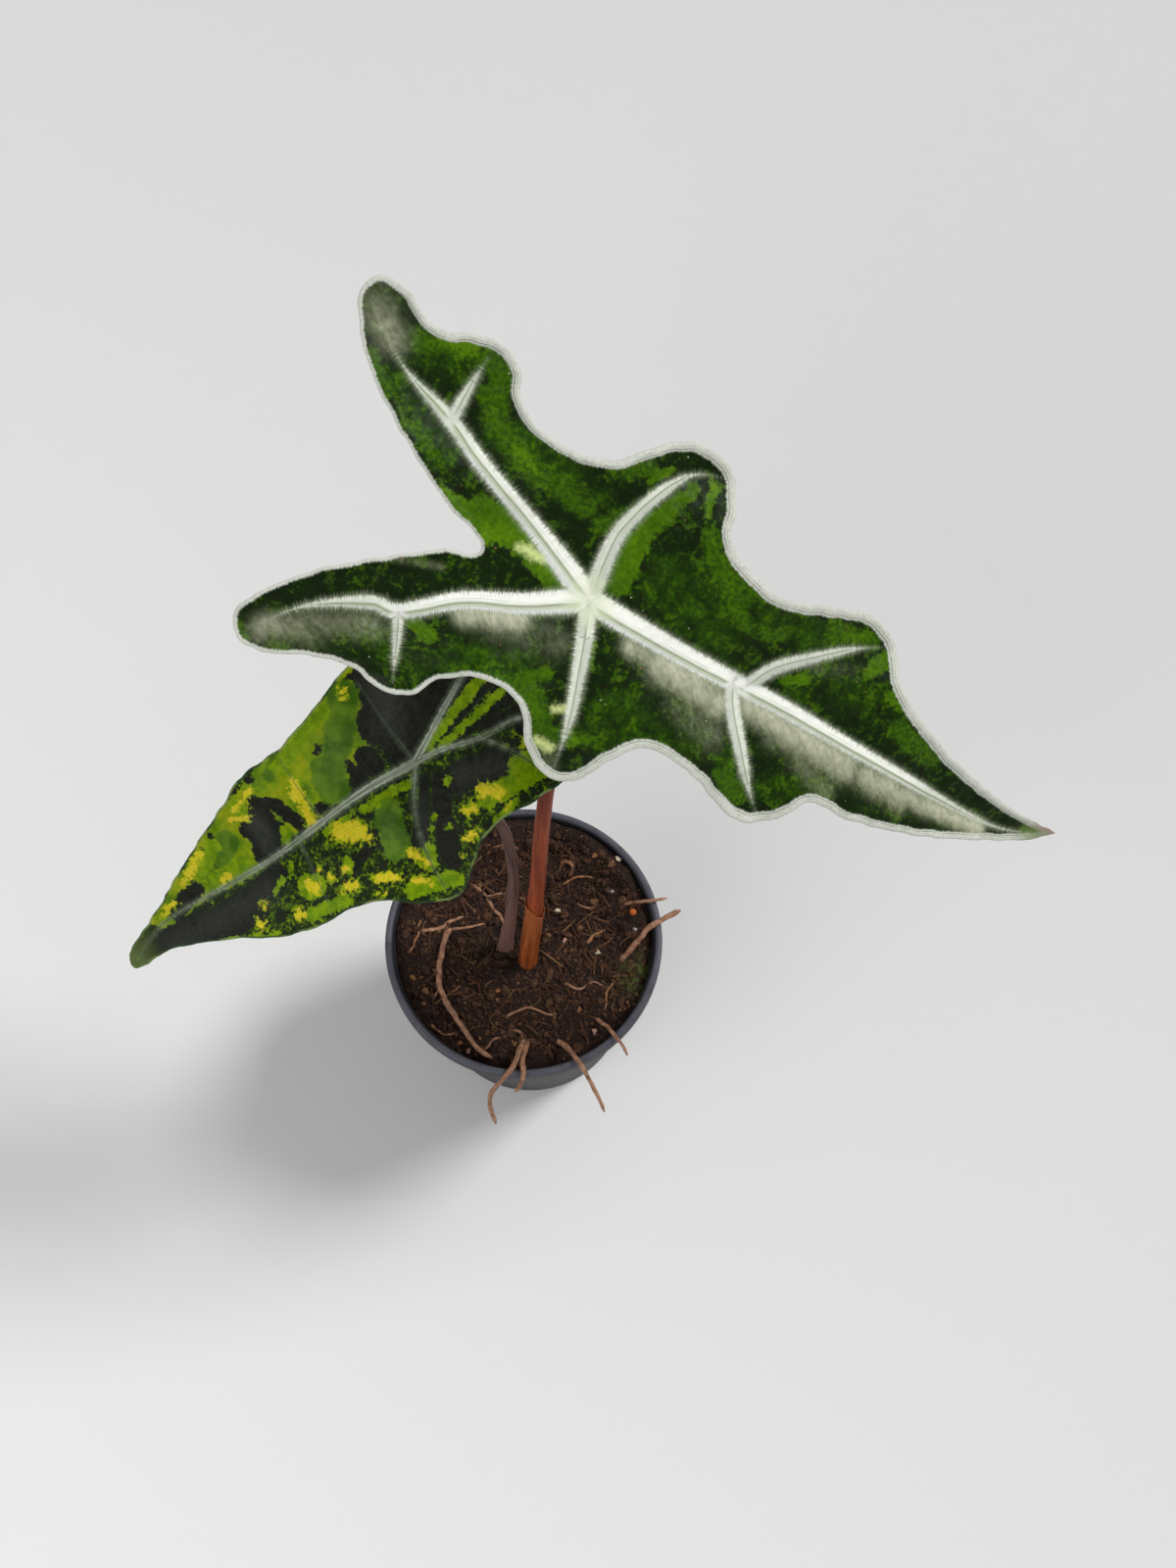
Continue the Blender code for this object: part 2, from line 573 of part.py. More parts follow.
def blade_inner_points(leaf, outline):
    """Points of the blade's faces: the seat boss, the veins with both flanks, then an even grid."""
    inner = [(0.0, 0.0)]
    ring = [2 * math.pi * k / SEAT_BOSS_SIDES for k in range(SEAT_BOSS_SIDES)]
    inner += [(SEAT_BOSS_RADIUS * math.cos(turn), SEAT_BOSS_RADIUS * math.sin(turn)) for turn in ring]
    veins = [smooth_line([(u, v, 0) for u, v in line], VEIN_STEP)
             for line in leaf.main_veins + leaf.side_veins]
    for line in veins:
        keep_apart(inner, [(point.x, point.y) for point in line[:-1]], VEIN_CLEARANCE)
    for line in veins:
        for here, after in zip(line[:-1], line[1:]):
            flank = (after - here).normalized().cross(Vector((0, 0, 1))) * RIB_HALF_WIDTH
            pair = [(here.x + flank.x, here.y + flank.y), (here.x - flank.x, here.y - flank.y)]
            keep_apart(inner, pair, FLANK_CLEARANCE)
    reach = leaf.margins[0][-1][0]
    row_gap = BLADE_GRID * math.sqrt(3) / 2
    rows = math.ceil(reach / 2 / row_gap)
    for row in range(-rows, rows + 1):
        shift = BLADE_GRID / 2 * (row % 2)
        steps = range(-math.ceil(reach / BLADE_GRID), math.ceil(reach / BLADE_GRID))
        keep_apart(inner, [(k * BLADE_GRID + shift, row * row_gap) for k in steps], GRID_CLEARANCE)
    closed = outline + outline[:1]
    return [(u, v) for u, v in inner
            if inside_outline(u, v, outline) and off_line(u, v, closed) > MARGIN_CLEARANCE]


def make_blade(leaf, material):
    """A blade of even thickness, split into triangles alike on both faces."""
    outline = blade_outline(leaf)
    flat = outline + blade_inner_points(leaf, outline)
    rim = list(range(len(outline)))
    found = delaunay_2d_cdt([Vector(point) for point in flat], [], [rim], 1, 1e-4)
    flat = [(point.x, point.y) for point in found[0]]
    triangles = [tuple(face) for face in found[2]]
    rises = [blade_rise(leaf, u, v) for u, v in flat]
    top = [(u, v, rise) for (u, v), rise in zip(flat, rises)]
    bottom = [(u, v, blade_underside(leaf, u, v, rise)) for (u, v), rise in zip(flat, rises)]
    count = len(flat)
    edges = {(a, b) for face in triangles for a, b in zip(face, face[1:] + face[:1])}
    faces = triangles + [tuple(index + count for index in reversed(face)) for face in triangles]
    for a, b in sorted(edges):
        if (b, a) not in edges:
            faces += [(a + count, b + count, b), (a + count, b, a)]
    blade = add_object(leaf.name, mesh_of(leaf.name, top + bottom, faces), material, smooth_below=50)
    blade.rotation_euler = leaf.turn()
    blade.location = Vector(leaf.seat) * MM


def main():
    clear_scene()
    root_skin = finish("root_skin", (0.33, 0.20, 0.11), 0.7)
    burrows = cutter_collection("burrows")
    make_pot(finish("pot_plastic", (0.035, 0.036, 0.04), 0.55))
    make_corm(finish("corm_skin", (0.12, 0.07, 0.04), 0.8), burrows)
    make_stalk("upper_stalk", UPPER_STALK, UPPER_STALK_RADII, UPPER_LEAF,
               finish("red_stalk", (0.20, 0.07, 0.04), 0.5), burrows, sheath=True)
    make_stalk("lower_stalk", LOWER_STALK, LOWER_STALK_RADII, LOWER_LEAF,
               finish("mauve_stalk", (0.16, 0.10, 0.10), 0.5), burrows)
    for name, (route, thick, thin) in ROOTS.items():
        make_root(name, route, thick, thin, root_skin, burrows)
    make_soil(finish("dark_soil", (0.035, 0.02, 0.012), 0.95), burrows)
    make_blade(UPPER_LEAF, finish("green_leaf", (0.02, 0.08, 0.015), 0.35))
    make_blade(LOWER_LEAF, finish("mottled_leaf", (0.09, 0.16, 0.02), 0.4))


main()
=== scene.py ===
"""Looks of an alocasia with two arrow-shaped leaves, growing in a small round nursery pot.

Lengths in this file are millimetres; MM turns them into Blender's metres.
A leaf's flat outline is given in its own frame: u runs along the midrib to the tip,
v runs across it, and the seat on the leaf stalk is at u = v = 0.
"""
import math
from dataclasses import dataclass

import bmesh
import bpy
import numpy as np
from mathutils import Euler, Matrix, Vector, noise
from mathutils.geometry import delaunay_2d_cdt

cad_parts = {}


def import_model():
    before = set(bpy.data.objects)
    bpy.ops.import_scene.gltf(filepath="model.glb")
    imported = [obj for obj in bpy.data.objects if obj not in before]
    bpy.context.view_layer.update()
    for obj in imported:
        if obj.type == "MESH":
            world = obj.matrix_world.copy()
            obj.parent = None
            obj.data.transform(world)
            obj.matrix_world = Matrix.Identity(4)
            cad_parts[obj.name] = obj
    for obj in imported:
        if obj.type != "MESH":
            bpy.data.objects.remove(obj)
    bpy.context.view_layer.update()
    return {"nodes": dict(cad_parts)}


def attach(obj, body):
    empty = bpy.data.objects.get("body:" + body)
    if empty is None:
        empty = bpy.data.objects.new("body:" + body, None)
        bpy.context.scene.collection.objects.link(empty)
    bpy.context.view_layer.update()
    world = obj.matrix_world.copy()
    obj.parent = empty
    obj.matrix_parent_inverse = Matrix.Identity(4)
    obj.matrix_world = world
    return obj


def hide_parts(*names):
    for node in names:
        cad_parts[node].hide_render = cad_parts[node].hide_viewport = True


MM = 0.001

# Pot
POT_SIDES = 180
POT_HEIGHT = 80.0
RIM_RADIUS = 45.0
MOUTH_RADIUS = 43.0
LIP_FOOT = POT_HEIGHT - 5.0
COLLAR_FOOT = POT_HEIGHT - 16.0
COLLAR_RADIUS = 42.7
SHOULDER_RADIUS = 42.0
BASE_RADIUS = 34.2
WALL = 0.9
FLOOR_TOP = 3.3
FOOT_OUTER = 33.6
FOOT_INNER = 30.8
GROOVE_DEPTH = 2.0
PAD_RADIUS = 17.0
DRAIN_HOLES = 8
DRAIN_RADIUS = 3.0
DRAIN_CIRCLE = 23.8
MOULD_ROUNDING = 0.3
BEAD_HEIGHT = 0.18
CREASE_ANGLE = 40

# Soil
SOIL_TOP = 73.8
SOIL_RELIEF = 0.9
SOIL_GRAIN = 9.0
SOIL_SEED_PLACE = (3.1, 7.7, 1.9)
SOIL_RADIUS = 42.0
SOIL_SIDES = 160
SOIL_STEP = 0.75
SOIL_FOOT_RADIUS = 32.4
SOIL_GAP = 0.3
BANK_HEIGHT = 4.6
BANK_START = 24.0
BANK_WIDTH = 15.0
SHRUNK_DEPTH = 1.5
SHRUNK_START = 39.0
SHRUNK_WIDTH = 2.6
# Where painted shade darkens the soil, round the feet of the stalks
PAINTED_SHADE_SPOT = (-3.0, -1.0, 74.0)
MOSS_SPOT = (38.0, -11.0, 74.0)

# Bits that lie on the soil: their place across the pot, length, width, turn in degrees and tone.
# The tone runs from 0 to 1 over bark, pale pink, orange, grey and cream, and the orange one is
# a round grain.
ROUND_TONE = 0.5
CHIPS = [
    (10.9, 11.0, 2.6, 1.6, 20, 0.9), (13.2, 0.9, 2.0, 1.3, 70, 0.3), (23.8, -3.1, 1.8, 1.5, 0, 0.9),
    (35.7, 9.6, 2.5, 2.4, 0, 0.5), (36.0, 3.6, 2.2, 1.7, 40, 0.7), (23.4, -29.7, 3.0, 1.9, 130, 0.3),
    (10.4, 33.0, 2.6, 1.6, 100, 0.1), (23.5, 29.1, 3.2, 1.6, 30, 0.1),
    (31.0, 27.7, 2.4, 1.6, 160, 0.9), (-43.0, 11.0, 2.4, 1.4, 80, 0.1),
    (-19.8, -32.9, 2.6, 1.5, 10, 0.1), (-17.3, -35.7, 2.0, 1.3, 60, 0.3),
    (0.0, -40.4, 2.8, 1.6, 150, 0.1), (-30.5, 24.0, 3.4, 2.0, 50, 0.1),
    (5.0, 25.0, 2.4, 1.2, 120, 0.1), (-8.0, -16.0, 2.2, 1.2, 15, 0.1),
    (18.0, -22.0, 2.6, 1.4, 75, 0.1), (28.5, 17.0, 2.0, 1.5, 5, 0.7),
    (-36.0, -12.0, 2.4, 1.5, 145, 0.1), (-24.0, 33.0, 2.0, 1.2, 95, 0.9),
    (32.0, -22.0, 2.4, 1.3, 35, 0.1),
]

# Thin sticks that lie on the soil: their points across the pot, and their radius
STICKS = [
    ([(19.9, -0.4), (23.2, 2.6), (27.0, 4.9)], 0.65),
    ([(-38.0, -4.0), (-35.0, 1.5), (-34.5, 8.0)], 0.5),
    ([(12.0, 20.0), (17.5, 22.5), (24.0, 22.0)], 0.5),
    ([(-14.0, 30.0), (-8.5, 33.0), (-2.0, 32.5)], 0.55),
    ([(30.0, -12.0), (27.0, -17.0), (26.5, -23.0)], 0.45),
    ([(-30.0, -27.0), (-25.0, -30.5), (-19.5, -29.0)], 0.5),
    ([(11.5, 26.6), (12.6, 27.8), (14.6, 27.6), (15.9, 25.9), (15.8, 23.9), (14.4, 22.9)], 0.85),
]

# Leaf stalks: the points that their middle lines pass through, and their radius at some heights
UPPER_STALK = [(0.0, -6.4, 66.4), (1.2, -5.6, 74), (3.3, 0, 93), (4.9, 4.9, 110), (6.6, 11.2, 131),
               (8.6, 18.1, 155), (12.1, 25.4, 182), (16.4, 32.3, 210), (19.4, 37.8, 225)]
UPPER_STALK_RADII = [(66.4, 2.85), (104, 2.6), (114, 2.4), (155, 2.25), (225, 1.8)]
STALK_STEP = 1.3
STALK_SIDES = 36
FOOT_HEIGHT = 72
SHEATH_FOOT = 68.0
SHEATH_TOP = 104.0
SHEATH_SLANT = 2.6
SHEATH_LIFT = 0.35
SHEATH_WALL = 0.28
SHEATH_SIDES = 48
SHEATH_RINGS = 46
LOWER_STALK = [(-7.0, -4.6, 66.4), (-6.4, -1.9, 74), (-4.2, 3.2, 88), (-2.6, 9.2, 104),
               (-2.1, 12.2, 115), (-2.6, 14, 127), (-4.3, 15.8, 142), (-9.2, 16.4, 156),
               (-16.1, 16.2, 172), (-22.6, 16, 184)]
LOWER_STALK_RADII = [(66.4, 2.1), (104, 1.75), (184, 1.4)]

# Roots that come up out of the soil: their points from the buried end to the free tip, and
# their radius at each end
ROOTS = {
    "root_left_on_soil": ([(-22, 9, 66), (-25.7, 2.1, 74.9), (-27.4, -11.3, 75.8), (-25.8, -18, 76),
                           (-19.9, -27.6, 76), (-14.3, -35.2, 76.2), (-9.5, -38.4, 75.6)], 1.05, 0.75),
    "root_front_left": ([(1.5, -26, 67), (-0.1, -33.2, 74.6), (-1.6, -38.6, 79.2), (-3.2, -43.3, 81.5),
                         (-6.6, -46.8, 79.6), (-9.6, -49.6, 74.5), (-10.4, -52, 69),
                         (-8.7, -56.6, 62)], 1.0, 0.7),
    "root_front": ([(3, -28, 68), (1, -35.4, 76), (0.4, -40.4, 80.2), (0.5, -44.6, 81.4),
                    (-0.3, -47.4, 78), (-2.2, -48.6, 73.5)], 0.9, 0.7),
    "root_front_right": ([(7, -27, 67), (11.8, -33.1, 75), (15.2, -36.6, 79.2), (17.4, -40, 81.5),
                          (20.6, -45, 80.4), (23.6, -49.8, 76.4), (26.1, -54.6, 71.5)], 1.0, 0.55),
    "root_right_edge": ([(19, -20, 67), (25.4, -26.8, 75.4), (28.6, -31.4, 80.6), (31.2, -34.8, 81.4),
                         (33.4, -38.2, 78.6)], 0.75, 0.5),
    "root_right": ([(26, -8, 67), (32.4, -5.2, 74.8), (37.1, -0.7, 79.6), (41.4, 3.4, 81.8),
                    (46.6, 6.4, 82.4), (51, 8.8, 81.6)], 1.0, 0.9),
    "root_right_back": ([(27, 11, 67), (33.6, 12.8, 75.4), (38.6, 12.2, 80.6), (43.6, 12.6, 81.2),
                         (46.8, 13.4, 80.2)], 0.7, 0.5),
}

# Thin rootlets that lie on the soil: their points across the pot, and their radius
ROOTLETS = [
    ([(-34.5, 3.9), (-27.8, 4.9), (-24.6, 7.3), (-19.8, 9.6)], 0.75),
    ([(-25.6, 4.6), (-18.4, 5.3), (-12.3, 6.6)], 0.55),
    ([(-17.6, 20.5), (-12.6, 16.1), (-9.7, 16.8), (-5.4, 17.4)], 0.6),
    ([(-12.6, 16.3), (-10.2, 11.3), (-7.3, 8.0), (-7.4, 1.0)], 0.7),
    ([(-6.0, -25.2), (-3.7, -23.6), (1.9, -21.7), (8.3, -23.9), (12.0, -23.4)], 0.5),
    ([(-4.9, -29.0), (-1.1, -29.4), (0.2, -32.5), (-2.2, -37.0)], 0.55),
    ([(-13.5, -36.6), (-11.3, -34.4), (-8.6, -31.6), (-5.5, -31.6)], 0.5),
    ([(16.5, 14.0), (21.0, 11.8), (25.5, 13.2)], 0.4),
    ([(-30.0, -20.5), (-27.5, -14.0), (-30.5, -7.0)], 0.45),
    ([(12.0, -12.5), (18.0, -15.5), (23.0, -13.0), (27.5, -16.0)], 0.45),
]

# Blades: their mesh and their form. A height or depth is followed by how far it reaches.
BLADE_THICKNESS = 0.9
TOP_STEP = 0.56
UNDER_STEP = 1.0
EDGE_ROUND = 0.22
EDGE_RINGS = (0.5, 1.05)
CUP_REACH = 14.0
QUILT = 1.5
QUILT_REACH = 6.0
WAVE_REACH = 11.0
VEIN_ROUNDING = 3.0
VEIN_CUSHION = 0.20
VEIN_GROOVE = 0.05
VEIN_GROOVE_REACH = 0.6
PILLOW = 0.34
PILLOW_REACH = 2.0
CORRUGATION = 0.19
CORRUGATION_GAP = 5.2
ROLLED_EDGE = 0.26
ROLLED_EDGE_REACH = 0.8
MAIN_RIB = 1.3
MAIN_RIB_REACH = 1.15
SIDE_RIB = 0.75
SIDE_RIB_REACH = 0.95
SEAT_BOSS = 1.5
SEAT_BOSS_REACH = 3.4
STALK_END_DEPTH = 2.1
# LIT_SIDE is the side of each vein that is painted as lit, its other side being painted in shade; a
# leaning groove lies toward the shaded side
LIT_SIDE = (-0.3, 1.0)

# What the blades' fields hold: each vein has its own stretch of the distance along the veins,
# and a dab is felt this far from its edge.
VEIN_STRETCH = 300.0
DAB_REACH = 12


@dataclass
class Leaf:
    """A blade: where it sits, its flat outline and veins, how it bends, and how it is coloured.

    A vein is its points and its half widths at its start, a third, two thirds and its end;
    its colour fades out where the half width falls below nothing. leans says how far each main
    vein's groove lies from its middle, as a share of the half width. A wave is (u, v, lift).
    A margin band is the width of the pale grey-white edge at shares of the way from the notch to the
    tip.
    A dab of colour is (from u, from v, to u, to v, half width), and a dab of painted sheen, a
    reflection painted into the colour, also has its strength.
    """
    name: str
    seat: tuple
    heading: float
    dip: float
    roll: float
    margins: tuple
    main_veins: tuple
    leans: tuple
    side_veins: tuple
    arch_front: float
    arch_back: float
    cup: float
    waves: tuple
    margin_bands: tuple
    ground: tuple
    darks: tuple
    mids: tuple
    limes: tuple
    yellows: tuple
    painted_sheens: tuple
    seed: int

    def turn(self):
        return Euler((math.radians(self.roll), math.radians(self.dip), math.radians(self.heading)))

    def normal(self):
        return self.turn().to_matrix() @ Vector((0, 0, 1))

    def placed(self, points):
        """Points of the leaf's own frame, in the row's frame."""
        return np.array(points) @ np.array(self.turn().to_matrix()).T + np.array(self.seat)


UPPER_LEAF = Leaf(
    name="upper_blade",
    seat=(21.1, 39.3, 235.0), heading=-16.3, dip=25.7, roll=28.5,
    margins=(
        [(-29.3, -0.6), (-30.1, 0.9), (-31.5, 1.9), (-34, 2.9), (-37.1, 3.8), (-42.1, 5.8), (-58.5, 16),
         (-71.5, 27), (-78.5, 39), (-76, 44.6), (-69.5, 44.3), (-64.5, 41.5), (-59, 40), (-47, 43.5),
         (-39.5, 40.5), (-36.5, 34.5), (-30.5, 30.5), (-20, 29), (-10.5, 32), (-4, 38), (3, 43.5),
         (12, 45), (19, 42), (22, 35), (24, 28), (31.5, 23.5), (43, 21.5), (59.5, 26), (70, 28.5),
         (80, 25), (86, 16), (99, 9.5), (119.5, 4), (142, 0.6), (162, 0)],
        [(-29.3, -0.6), (-29.2, -1.4), (-30.1, -2.6), (-32.3, -3.5), (-35.2, -4.3), (-39.5, -6.3),
         (-55, -17), (-65.5, -26.5), (-73.5, -38), (-70, -45), (-62, -44), (-54, -40.5), (-44.5, -39),
         (-35.5, -41), (-29, -38.5), (-25, -32.5), (-18, -28), (-9.5, -28), (-3.5, -31.5), (1.5, -38.5),
         (10.5, -43.3), (17, -41), (21.5, -33), (28.5, -26), (41, -27), (57, -32.5), (65, -33),
         (72, -28.5), (77.5, -21), (89.5, -21), (112.5, -17.5), (136, -11), (152, -5.5), (162, 0)]),
    main_veins=(
        ([(0, 0), (12, -1), (32, -2), (58, -2.5), (92, -4.4), (133, -6.2), (150, -4), (162, 0)],
         (3.0, 2.3, 1.5, -0.6)),
        ([(0, 0), (-17, 8), (-36.5, 16.5), (-48.5, 23), (-62.5, 28.5), (-72.5, 36)],
         (3.4, 2.0, 1.8, -1.2)),
        ([(0, 0), (-14, -7.5), (-28, -13.5), (-40, -22.5), (-47, -23.5), (-60, -31), (-69, -41)],
         (3.2, 2.2, 1.7, -0.9))),
    leans=(0.37, 0.12, 0.3),
    side_veins=(
        ([(0, 0), (-1.5, 15), (0.5, 24), (4, 31.5), (9.5, 38), (17, 41)], (2.4, 2.0, 1.5, -0.9)),
        ([(0, 0), (3, -9.5), (7.5, -25.5), (11, -41)], (2.4, 2.0, 1.4, -0.9)),
        ([(47.5, -1.5), (52.5, 6.5), (66.5, 17), (78.5, 23.5)], (2.1, 1.7, 1.0, -0.9)),
        ([(43.5, -2), (46.5, -8.5), (57, -21), (66, -29.5)], (2.3, 2.1, 1.4, -0.7)),
        ([(-48, 23), (-47.5, 30), (-46.5, 40)], (1.5, 1.2, 0.5, -1.0)),
        ([(-40, -22.5), (-37, -30), (-34, -38.5)], (1.5, 1.1, 0.6, -0.9))),
    arch_front=500, arch_back=400, cup=5.0,
    waves=((-47, 42, -3.5), (14, 44, -4), (74, 27, -4), (-18, 29, 2.5), (42, 22, 2.5), (94, 10, 2),
           (-36, -40, -3.5), (13, -43, -4), (65, -32, -4), (-14, -28, 2.5), (36, -26, 2.5),
           (82, -20, 2), (-78, 41, -3), (-74, -40, -3)),
    margin_bands=(
        ((0, 0.45), (0.15, 0.5), (0.19, 0.8), (0.23, 1.6), (0.3, 1.9), (0.39, 1.6), (0.5, 2.2),
         (0.63, 2.3), (0.72, 2.4), (0.87, 2.4), (0.97, 1.6), (1, 1.0)),
        ((0, 0.5), (0.14, 0.6), (0.2, 0.7), (0.28, 0.9), (0.4, 1.1), (0.46, 1.9), (0.53, 2.3),
         (0.6, 2.0), (0.67, 2.7), (0.76, 1.9), (0.97, 1.7), (1, 1.0))),
    ground=((14, 12, 38, 6, 7), (24, 20, 34, 14, 5), (42, 15, 62, 17, 6), (-58, 37, -44, 37, 6),
            (-34, 24, -14, 22, 6), (18, -20, 36, -20, 6), (50, -20, 56, -26, 4), (66, -22, 78, -18, 4),
            (-24, -27, -8, -22, 5), (-62, 24, -46, 14, 3), (60, 4, 84, 10, 5), (-44, -30, -30, -32, 4),
            (12, -30, 26, -24, 4)),
    darks=((-38, 20, -24, 14, 2.5), (-22, 14, -10, 12, 4), (-14, 26, -6, 30, 3), (10, 20, 15, 30, 3),
           (40, 5, 50, 12, 3), (66, 5, 78, 2, 3), (106, -0.5, 124, -2.5, 2.5), (84, 8, 92, 6, 2),
           (-28, -3, -10, -4, 2.6), (-50, -12, -30, -7, 3.5), (56, -14, 60, -22, 2),
           (22, -14, 34, -18, 3)),
    mids=((-71, 27, -65, 22, 2.5), (-77, -41, -71, -45, 3), (52, -24, 58, -28, 3), (92, 6, 106, 3, 3),
          (-22, -29, -11, -26, 2.2), (-10, 30, -2, 34, 2), (44, 12, 48, 14, 2.2), (30, 21, 38, 19, 1.2),
          (-55, 18, -49, 14, 1.5), (19, 27, 22, 23, 2.4), (22, 23, 30, 17.5, 2.6),
          (30, 17.5, 36, 12, 2.2), (-62, 36, -50, 41, 3.0), (-47, 40, -41, 37, 3.0),
          (-42, 33, -38, 26, 3.0), (-38, 26, -25, 20.5, 3.0), (-25, 21, -12, 19, 2.4),
          (-6, 17, -2, 21, 2.6), (-7, -25, 1, -31, 3.6), (2, -33, 6, -35, 3.0),
          (61, 20, 74, 23.5, 2.6)),
    limes=((-42, 5, -30, 4, 3.6), (-33, 7, -23, 6, 4.2), (-22, 5, -9, -0.5, 2.6),
           (-57, 38, -50, 40.5, 1.2), (-40, 29, -38, 26, 0.8), (-33, 24, -27, 21.5, 0.8),
           (4, 6, 3.5, 17, 3.2), (3.5, 18, 7, 28, 2.6), (7, 28, 11, 35, 1.8), (-1, 31, 3, 36, 1.2),
           (15.5, 38, 16, 31, 1.2), (66, 21, 72, 23, 1.0), (56, 4, 60, 6.5, 1.6),
           (77, 16, 79.5, 20, 2.2), (84, 12.5, 88, 11, 1.4), (-4, -27, 0, -30, 1.4),
           (5, -9, 6.5, -14, 1.0), (-36, -23, -32, -24.5, 2.0), (9.5, -32, 12, -34, 1.2),
           (150, -3, 162, -1, 1.6), (-6, -23, -3, -20, 1.5)),
    yellows=((-21.5, 3.7, -18.5, 4.4, 0.7), (-18.5, 3.6, -14, 4.2, 1.0), (3.2, -27.2, 6, -26, 0.7),
             (3, -36, 7, -36.5, 1.0)),
    # Dabs of painted sheen: a pale reflection painted beside the veins and over the lobe tips, with its
    # strength
    painted_sheens=((14, -6, 26, -7.5, 3.4, 0.75), (24, -7, 40, -9, 5.2, 1.0), (50, -5.5, 62, -8, 4.0, 0.95),
             (62, -8, 82, -9.5, 5.4, 1.0), (68, -12, 80, -17, 4.0, 0.65),
             (90, -9.5, 104, -10.5, 4.4, 0.95), (104, -9.5, 134, -8.5, 3.4, 0.9),
             (-26, -16, -14, -12, 3.8, 0.9), (-20, -16, -4, -13, 5.5, 0.4),
             (-66, -40, -56, -36, 4.6, 0.62), (-56, -34, -44, -29, 4.2, 0.55),
             (-75, 40, -68, 34, 5.6, 0.64), (-12, 32, -4, 36, 3.0, 0.3), (32, -13, 42, -17, 5.5, 0.55),
             (62, 10, 74, 14, 3.5, 0.25), (-48, -12, -36, -8.5, 1.4, 0.5),
             (6, -37, 10, -41, 3.0, 0.35)),
    seed=11)

